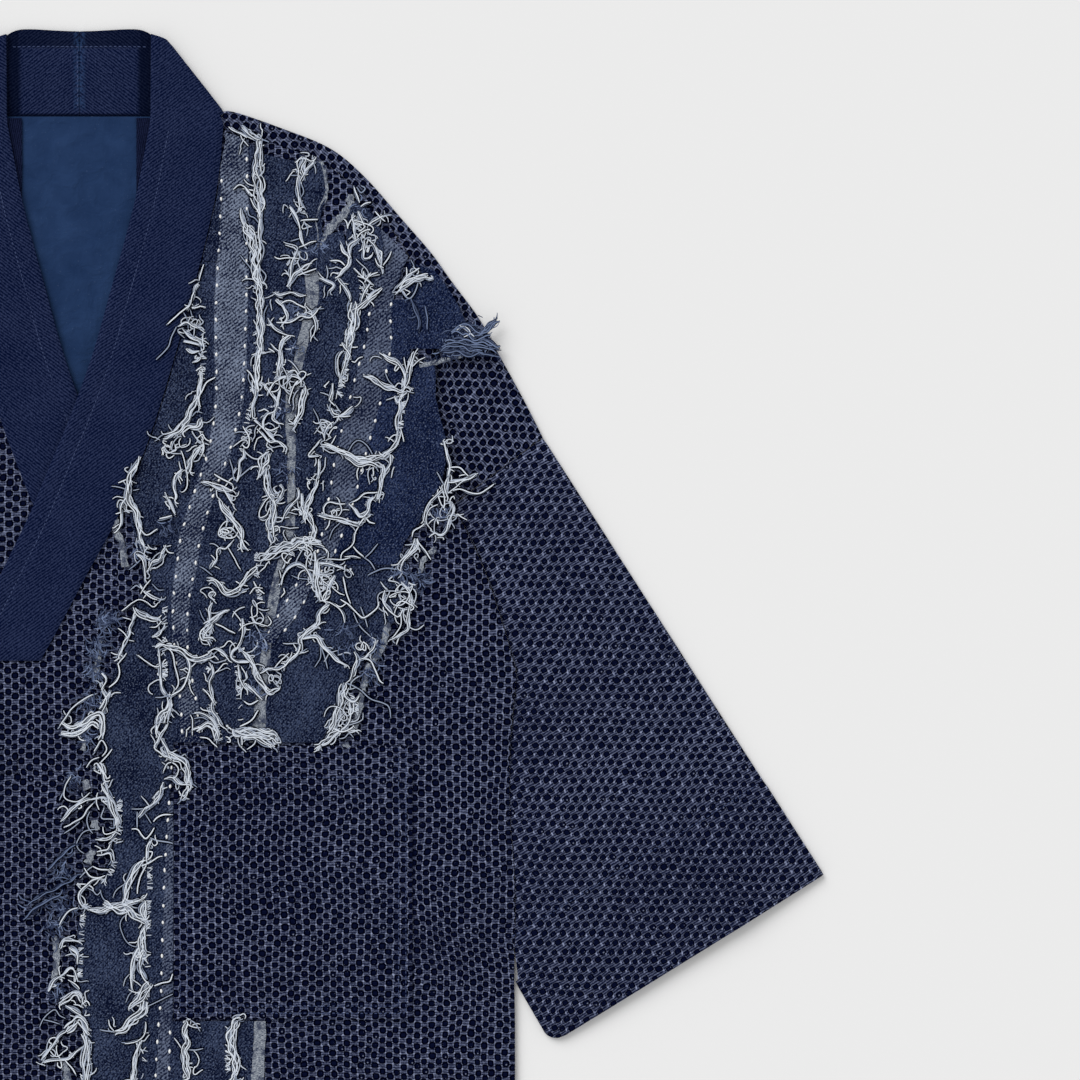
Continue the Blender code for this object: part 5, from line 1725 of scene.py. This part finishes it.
    "fray_shoulder": """
r 2 0.7 : 192,309 193,304 196,297
r 1 0 : 194,308 197,304 200,307 197,309
r 2 0.7 : 197,294 200,296 204,297
o 9 4.9 : 200,279
r 3 1.4 : 191,290 192,280 193,271
r 4 2.1 : 202,281 207,285 214,288
r 2 0.7 : 207,291 210,287 214,284
r 3 1.4 : 195,291 197,286 200,280
r 4 2.1 : 196,272 190,267 189,262 190,258
r 3 1.4 : 200,270 199,263 199,258 203,258
r 3 2.1 : 202,272 207,266 210,259 211,252
r 2 0.7 : 218,263 216,258 212,252
r 2 0.7 : 207,258 209,253 213,251
r 3 1.4 : 182,270 185,263 189,259 189,254 185,250 182,245
r 2 0.7 : 176,256 182,256 186,253
r 2 0.7 : 192,251 196,247 200,244
r 4 1.4 : 195,246 200,244 206,239
r 3 1.4 : 199,249 200,244 204,248
r 2 0.7 : 200,241 204,246 209,248
r 1 0 : 173,253 174,248 173,243
r 3 1.4 : 168,244 174,242 178,239 175,235
r 3 1.4 : 181,244 185,239 188,234 190,228
r 1 0 : 187,239 189,234 190,230
o 4 2.1 : 199,235
r 5 2.1 : 212,237 205,232 200,227 194,222
r 3 1.4 : 204,241 200,235 197,228
r 8 4.2 : 192,228 191,221 192,214 190,206
r 6 3.5 : 191,211 190,203 188,195
r 3 1.4 : 184,199 187,195 190,190
r 4 2.1 : 185,194 181,188 181,181 183,174
r 3 2.1 : 188,193 186,185 184,176
c 40 4.2 -1 : 186,190 183,176 180,162 178,155
c 20 3.5 1 : 192,217 190,205 189,196
r 3 2.1 : 178,172 177,165 176,158
r 2 0.7 : 176,158 179,155
r 4 2.1 : 182,148 178,150 176,153
r 4 2.1 : 192,154 187,150 182,148
r 2 0.7 : 190,148 183,148 178,147
r 1 0 : 164,153 167,147 169,141
o 7 3.5 : 174,141
r 4 2.1 : 180,144 175,140 172,136
r 8 2.8 : 169,128 178,126 186,122 195,118 203,118 211,120
r 3 0.7 : 170,132 164,125 161,120 168,120
r 5 2.1 : 186,121 195,115 203,115 210,112
r 1 0 : 188,123 192,129 196,131 202,127 206,120
r 3 1.4 : 168,118 168,111 167,104
o 3 2.1 : 162,104
r 5 2.1 : 168,106 165,98 162,91 159,84 158,76
o 3 2.1 : 160,84
r 3 1.4 : 156,94 157,85 158,77
r 1 0 : 152,98 155,94 156,87 155,80
r 5 2.1 : 167,80 174,78 181,76 189,74 197,72
o 3 2.8 : 180,81
r 5 2.8 : 158,83 162,76 165,67 161,59
r 5 2.1 : 167,49 167,37 167,27 169,18
r 5 1.4 : 165,53 166,43 164,34
o 10 4.9 : 172,25
o 5 4.2 : 174,38
r 3 1.4 : 179,37 175,29 172,20
r 5 2.1 : 176,18 172,15 168,10 167,4 161,-1 155,-7 155,-13
r 2 0.7 : 186,4 185,10 181,15 176,18 169,19
r 3 1.4 : 155,-11 153,-17 148,-22 143,-27
o 3 2.1 : 148,-20
r 1 0 : 160,-14 155,-17
r 4 1.4 : 154,-7 161,-6 167,-6 171,-12 176,-17 181,-22 187,-25
r 1 0 : 169,-11 169,-20 165,-27
r 1 0 : 169,-11 172,-20 174,-28
o 3 2.1 : 165,-1
r 3 1.4 : 168,46 175,45 182,43 186,41
r 2 0.7 : 170,48 178,48 185,48 190,49
o 4 2.1 : 186,40
r 2 0.7 : 185,36 186,29 188,22 191,15
r 1 0 : 149,37 154,35 162,34
r 2 0.7 : 179,17 183,15 188,18
b 18 6.3 : 186,0
b 12 5.6 : 186,-12
b 10 4.9 : 169,265
b 10 4.9 : 196,294
""",
    "fray_slim": """
r 6 2.8 : 244,246 239,245 233,243 227,239 223,234
r 3 1.4 : 246,246 247,244 242,244
r 4 2.1 : 238,251 232,247 226,241 222,237
r 1 0 : 232,257 234,252 232,248
r 1 0 : 237,241 235,235 231,230 227,233 224,239
r 3 1.4 : 210,192 217,188 223,185 227,178 229,172
r 2 0.7 : 227,190 228,183 230,178
r 2 0.7 : 242,189 237,186 232,182
r 3 1.4 : 237,195 234,189 232,183
r 5 2.1 : 234,193 232,186 230,179 229,172 227,166
o 3 2.1 : 228,169
r 5 2.1 : 199,176 206,174 213,169 220,167 226,165
r 1 0 : 214,178 217,172 221,168
r 4 2.1 : 227,166 225,160 225,153 222,146 223,137
r 3 1.4 : 221,162 223,157 226,162
c 30 2.8 -1 : 225,157 223,142 221,132
r 5 2.8 : 223,139 223,131 218,125 212,120
r 2 0.7 : 225,139 227,130
r 5 2.1 : 209,116 213,111 211,102 210,94 208,89
r 3 1.4 : 218,121 218,115 214,109
o 3 2.1 : 207,108
r 2 0.7 : 209,95 200,94 195,90 189,87
r 2 0.7 : 189,87 183,87 175,88 171,84 172,78
r 3 1.4 : 189,87 193,83 197,78 202,81 203,88 207,92
r 1 0 : 202,80 206,79
r 2 0.7 : 196,72 200,77 203,74 207,73
r 2 0.7 : 200,78 200,74
r 2 0.7 : 196,71 193,66 192,60 189,56 184,52 183,47
r 2 0.7 : 192,57 196,52 200,49
r 1 0 : 200,49 205,54 209,59
r 1 0 : 200,49 204,46 207,41
r 2 0.7 : 186,50 192,50 197,49
r 1 0 : 183,74 178,69 175,62
c 16 2.8 1 : 206,90 203,84 197,69
B 3 1.4 : 232,230 235,223 238,214 237,207
B 2 0.7 : 241,227 243,217 243,207
""",
    "fray_outer": """
r 3 1.4 : 255,130 257,123 259,113 258,105
o 2 1.4 : 256,130
r 2 0.7 : 259,112 266,112 270,108 273,105
r 3 1.4 : 258,102 266,103 273,105 279,108
r 2 0.7 : 258,94 263,98 268,102 274,104
r 2 0.7 : 259,95 266,97 273,94 280,94 287,98 293,103
r 1 0 : 250,109 253,104 257,97
r 4 2.1 : 258,105 257,98 258,91
r 3 1.4 : 255,97 249,92 245,87 242,81 241,75
r 2 0.7 : 242,74 239,71 234,68 233,64
r 3 1.4 : 258,90 262,84 260,78 258,72 256,67 252,65 246,69
r 2 0.7 : 246,69 243,75 245,83 251,86
o 6 5.6 : 251,78
b 16 6.3 : 251,80
r 5 2.8 : 235,64 235,57 231,52 227,48 223,42
r 2 0.7 : 236,62 241,55 246,48
o 3 2.1 : 236,53
r 1 0 : 202,37 210,41 216,42 223,41
b 14 6.3 : 224,39
b 14 6.3 : 237,34
o 9 6.3 : 224,18
o 4 4.2 : 221,25
r 3 1.4 : 223,34 230,27 232,18 230,9 230,0 225,-4 216,-9
r 2 0.7 : 225,11 225,3 221,-4 217,-8
r 3 1.4 : 214,28 213,20 217,13 223,8 226,13
r 2 0.7 : 182,21 189,16 195,10 199,7 204,10 209,15 210,20
r 1 0 : 197,15 200,7 202,1
r 1 0 : 192,11 195,4 199,-1 204,-6
b 18 6.3 : 206,-8
b 14 6.3 : 204,-29
r 4 2.1 : 209,-8 206,-14 202,-19 196,-22
r 4 2.1 : 192,-15 195,-22 192,-29 190,-36
o 4 2.8 : 199,-15
r 2 0.7 : 196,-21 203,-22 207,-28 210,-36 214,-39
r 1 0 : 185,-38 190,-39 197,-43 204,-49 213,-52 217,-55 218,-62
r 5 3.5 : 186,-38 183,-46 183,-55
r 3 1.4 : 185,-41 187,-48 192,-51 197,-46
o 8 4.9 : 188,-59
r 6 4.2 : 182,-53 180,-62 177,-69
r 3 1.4 : 189,-50 190,-59 188,-67 182,-72
r 5 2.8 : 183,-70 178,-74 173,-78 168,-82
r 3 1.4 : 178,-69 183,-72 189,-70
r 1 0 : 182,-77 186,-76 189,-73 192,-76
c 30 2.8 -1 : 183,-39 181,-55 175,-71
c 20 2.8 1 : 190,-43 196,-55 192,-69
""",
    "fray_flap": """
B 9 6.3 : 260,207 269,209 276,206 283,204
B 7 4.2 : 256,199 266,200 276,199 286,197
B 6 3.5 : 252,193 263,195 273,192 283,193
B 5 2.8 : 279,204 285,209 291,215
B 5 2.8 : 280,206 286,209 290,213
B 4 2.1 : 274,197 283,196 290,195
B 4 2.1 : 276,195 284,191 291,190
B 4 2.1 : 280,202 287,200 291,197
r 2 0.7 : 263,207 269,210 273,206 269,203
r 2 0.7 : 266,211 271,207 276,203
r 1 0 : 265,199 272,197 280,196
b 26 6.3 : 270,202
b 20 6.3 : 258,195
b 14 4.9 : 280,200
b 10 4.9 : 273,211
""",
}


def addFrays():
    for number, (node, text) in enumerate(frayLines.items()):
        draw = random.Random(900 + number)
        spool = newSpool()
        for line in text.strip().splitlines():
            head, points = line.split(":")
            kind, count, size, *side = head.split()
            way = [Vector([float(value) for value in point.split(",")]) for point in points.split()]
            count, size = int(count), float(size)
            if kind in "rB":
                layRope(spool, way, count, size, fray["indigo"] if kind == "B" else 0.0, draw)
            elif kind == "o":
                layCurls(spool, way[0], count, size, 0.0, draw)
            elif kind == "c":
                layComb(spool, way, count, size, float(side[0]), 0.0, draw)
            else:
                layTangle(spool, way[0], count, size, draw)
        piece = windOff(spool, node.replace("_", " ").title().replace(" ", ""), "thread")
        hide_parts(node)
        print(piece.name, "triangles", sum(len(face) - 2 for face in spool["faces"]))


addFrays()


def addStitch(spool, centre, run, long, wide, high, shade=0.0):
    # a short raised stitch, rounded at both ends
    beside = Vector((-run.y, run.x, 0))
    ahead = Vector((run.x, run.y, 0))
    rings, sides = 4, 6
    start = len(spool["points"])
    spool["points"].append(centre - ahead * long / 2)
    for i in range(1, rings):
        angle = math.pi * i / rings
        for k in range(sides):
            turn = 2 * math.pi * k / sides
            spool["points"].append(centre - ahead * math.cos(angle) * long / 2
                                   + beside * math.sin(angle) * math.cos(turn) * wide / 2
                                   + up * math.sin(angle) * math.sin(turn) * high / 2)
    spool["points"].append(centre + ahead * long / 2)
    end = start + 1 + (rings - 1) * sides
    faces = []
    for k in range(sides):
        after = (k + 1) % sides
        faces.append((start, start + 1 + k, start + 1 + after))
        for i in range(rings - 2):
            one, two = start + 1 + i * sides, start + 1 + (i + 1) * sides
            faces.append((one + k, two + k, two + after, one + after))
        last = start + 1 + (rings - 2) * sides
        faces.append((last + k, end, last + after))
    for face in faces:
        spool["faces"].append(face)
        for index in face:
            point = spool["points"][index]
            spool["corners"].append((point.dot(ahead), point.dot(beside)))


def sew(spool, line, pitch, long, wide, high, bed, draw, loose=0.15):
    # a row of stitches along a line
    spots = evenly([Vector(point[:2]) for point in line], pitch)
    for one, two in zip(spots, spots[1:]):
        run = (two - one).normalized()
        turn = draw.gauss(0, loose)
        run = Vector((run.x * math.cos(turn) - run.y * math.sin(turn),
                      run.x * math.sin(turn) + run.y * math.cos(turn)))
        middle = one.lerp(two, 0.5 + draw.gauss(0, 0.03))
        centre = Vector((middle.x, middle.y, bed(middle.x, middle.y) + high * 0.1))
        addStitch(spool, centre, run, long * draw.uniform(0.85, 1.15), wide * draw.uniform(0.9, 1.1), high)


running = {"pitch": 12.1, "long": 3.0, "wide": 1.7, "high": 1.3}
topStitch = {"pitch": 3.3, "long": 2.3, "wide": 0.75, "high": 0.6}


def seamPath(table, name, top, low, aside):
    count = round((top - low) / 4)
    heights = [blendTo(top, low, k / count) for k in range(count + 1)]
    return [(seamX(table, name, y) + aside, y) for y in heights]


def addRunningStitches():
    draw = random.Random(77)
    spool = newSpool()
    lines = [
        seamPath(upperSeams, "pale1", 318, -78, 0.6), seamPath(upperSeams, "pale2", 334, -78, -0.6),
        seamPath(upperSeams, "pale3", 226, 48, 0.6), seamPath(upperSeams, "pale4", 232, 48, -0.6),
        seamPath(lowerSeams, "pale1", -92, -414, 0.4), seamPath(lowerSeams, "pale2", -276, -414, -0.8),
        [(130, -8), (135, 2), (144, 15), (148, 24), (155, 34), (162, 46)],
        [(140, -6), (149, 4), (156, 15), (161, 25), (166, 34), (173, 45)],
    ]
    for line in lines:
        sew(spool, line, running["pitch"], running["long"], running["wide"], running["high"],
            lambda x, y: stripTop(x, y) + 0.45, draw)
    piece = windOff(spool, "runningStitches", "whiteStitch")


def bandTop(side, x, y):
    return frontTop(side, x, y) + cloth["lay"] + cloth["band"] - collar["groove"]


def addTopStitches():
    draw = random.Random(78)
    spool = newSpool()

    def row(line, bed):
        sew(spool, line, topStitch["pitch"], topStitch["long"], topStitch["wide"], topStitch["high"], bed,
            draw, 0.06)

    for side in (1, -1):
        heights = [front["bandEnd"] + 2 + (350 - front["bandEnd"]) * k / 80 for k in range(81)]
        line = [(side * (curveAt(bandTable, "inner", y) + collar["stitch"]), y) for y in heights]
        row([point for point in line if point[1] < 352], lambda x, y: bandTop(side, x, y))
        hem = [(side * x, -420 + front["hem"] - 3) for x in (-80, 0, 100, 200, 303)]
        row(hem, lambda x, y: frontTop(side, x, y) + front["hemRise"] * 0.85)
        edge = [(side * (front["edge"] + front["hem"] - 3), y) for y in (-386, -300, -200, -100, -26)]
        row(edge, lambda x, y: frontTop(side, x, y) + front["hemRise"] * 0.85)
        spots = hemLines[side]
        row([spot[:2] for spot in spots[::6] + spots[-1:]],
            lambda x, y: min(spots, key=lambda spot: math.hypot(spot[0] - x, spot[1] - y))[2] + 0.15)
    row([(-47, 406.2), (-20, 406.6), (0, 406.2), (20, 406.6), (47, 406.2)], lambda x, y: 3.2)
    row([(-1.3, 404), (-1.1, 364)], lambda x, y: 3.4)
    for inset in (4.5, 9.5):
        left, right = pocket["left"] + inset, pocket["right"] - inset
        low, top = pocket["low"] + inset, pocket["top"] - 1
        row([(left, top), (left, low), (right, low), (right, top)], lambda x, y: pocketTop(x, y) + 0.05)
    row([(pocket["left"] + 10, pocket["top"] - pocket["hem"]),
         (pocket["right"] - 10, pocket["top"] - pocket["hem"])],
        lambda x, y: pocketTop(x, y) + 0.05)
    piece = windOff(spool, "topStitches", "navyStitch")
    print("top stitches triangles", len(spool["faces"]) * 2)


addRunningStitches()
addTopStitches()


closure = {"tabWidth": 12.0, "tabWall": 1.6, "y": -94.5, "tabEnd": -43.0, "loop": 9.0, "cord": 3.2,
           "knotX": -98.0, "knotTabEnd": -146.0, "neck": 3.6, "knot": 6.8}


def addTab(name, nodes, left, right, low, ends):
    # a flat folded strip with rounded edges
    y, half = closure["y"], closure["tabWidth"] / 2
    rows = [(x, y - half, x, y + half) for x in [blendTo(right, left, k / 24) for k in range(25)]]

    def top(x, yy, rowNumber, share):
        edge = min(share, 1 - share) * closure["tabWidth"]
        toEnd = min(abs(x - end) for end in ends)
        height = closure["tabWall"] - 0.8 * (1 - smooth(min(edge, toEnd) / 1.4))
        return low + height - 0.25 * (1 - smooth(abs(min(edge, toEnd) - 2.4) / 0.8))

    piece = laySheet(name, rows, graded(14), lambda x, yy: low, top, "body", turned(0))
    declare(piece, nodes, (closure["tabWidth"] * mm, abs(right - left) * mm), None)
    return piece


def addClosure():
    # a flat tab with a corded loop on the left front, and the knot it takes on the right
    y, half = closure["y"], closure["tabWidth"] / 2
    corners = [(x, y + dy) for x in (closure["tabEnd"], front["edge"]) for dy in (-half, half)]
    tabLow = max(frontTop(1, *corner) for corner in corners) + cloth["lay"]
    first = math.asin(half / closure["loop"])
    reach = closure["loop"] - closure["cord"] / 2
    begin = closure["knotX"] + closure["loop"] * math.cos(first)
    addTab("closureTabLeft", ["closure_loop"], begin, closure["tabEnd"], tabLow, (closure["tabEnd"],))
    spool = newSpool()
    for strand in range(3):
        # three cords twisted round each other
        path = []
        for k in range(97):
            share = k / 96
            angle = first * 0.4 + (2 * math.pi - 2 * first * 0.4) * share
            twist = 2 * math.pi * (share * 9 + strand / 3)
            size = reach + 0.55 * math.cos(twist)
            path.append(Vector((closure["knotX"] + size * math.cos(angle), y + size * math.sin(angle),
                                tabLow + 1.0 + 0.45 * math.sin(twist))))
        spin(spool, path, 0.62, 0.2 + strand * 0.1, 8, 0.0)
    loop = windOff(spool, "closureLoop", "navyStitch")
    near = closure["knotX"] + closure["neck"] + cloth["seam"]
    corners = [(closure["knotTabEnd"], y - half), (near, y - half), (near, y + half),
               (closure["knotTabEnd"], y + half)]
    knotLow = max(frontTop(-1, *corner) for corner in corners) + cloth["lay"]
    addTab("closureTabRight", ["closure_tab"], closure["knotTabEnd"], near, knotLow,
           (near, closure["knotTabEnd"]))
    stand = knotLow + closure["tabWall"] + cloth["seam"]
    above = tabLow + closure["tabWall"] + cloth["seam"]
    spool = newSpool()
    neck = [Vector((closure["knotX"], y, blendTo(stand, above + 1.6, k / 6))) for k in range(7)]
    spin(spool, neck, closure["neck"] - 0.4, 0.3, 16, 0.0)
    path = []
    for k in range(221):
        # a cord wound over and under itself
        turn = 2 * math.pi * k / 220
        size = closure["knot"] - 2.6 + 1.3 * math.cos(5 * turn)
        path.append(Vector((closure["knotX"] + size * math.cos(3 * turn), y + size * math.sin(3 * turn),
                            above + 2.4 + 1.0 * math.sin(5 * turn))))
    spin(spool, path, 1.15, 0.4, 8, 0.0)
    knot = windOff(spool, "closureKnot", "navyStitch")
    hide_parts("closure_knot")


addClosure()
print("closure made")


# Floor, light and camera

def addFloor():
    half = 4.0
    mesh = bpy.data.meshes.new("floor")
    mesh.from_pydata([(-half, -half, -0.0005), (half, -half, -0.0005), (half, half, -0.0005),
                      (-half, half, -0.0005)], [], [(0, 1, 2, 3)])
    mesh.materials.append(floorFinish())
    floor = bpy.data.objects.new("floor", mesh)
    bpy.context.scene.collection.objects.link(floor)


def addSun(name, turn, height, softness, power):
    lamp = bpy.data.lights.new(name, "SUN")
    lamp.angle = math.radians(softness)
    lamp.energy = power
    light = bpy.data.objects.new(name, lamp)
    light.rotation_euler = (math.radians(90 - height), 0, math.radians(turn))
    bpy.context.scene.collection.objects.link(light)


def addCamera():
    lens = bpy.data.cameras.new("camera")
    lens.lens = 100
    lens.sensor_width = 36
    camera = bpy.data.objects.new("camera", lens)
    camera.location = (view["middle"][0] * mm, view["middle"][1] * mm, view["width"] * mm * 100 / 36)
    bpy.context.scene.collection.objects.link(camera)
    bpy.context.scene.camera = camera


view = {"middle": (322.0, 61.6), "width": 756.0}
studio = {"ambient": 0.64, "turn": 215, "height": 38, "softness": 42, "power": 1.95}

addFloor()
addCamera()
addSun("softWindow", studio["turn"], studio["height"], studio["softness"], studio["power"])
world = bpy.data.worlds.new("studio")
bpy.context.scene.world = world
world.use_nodes = True
world.node_tree.nodes["Background"].inputs["Color"].default_value = (1, 1, 1, 1)
world.node_tree.nodes["Background"].inputs["Strength"].default_value = studio["ambient"]
bpy.context.scene.view_settings.view_transform = "Standard"
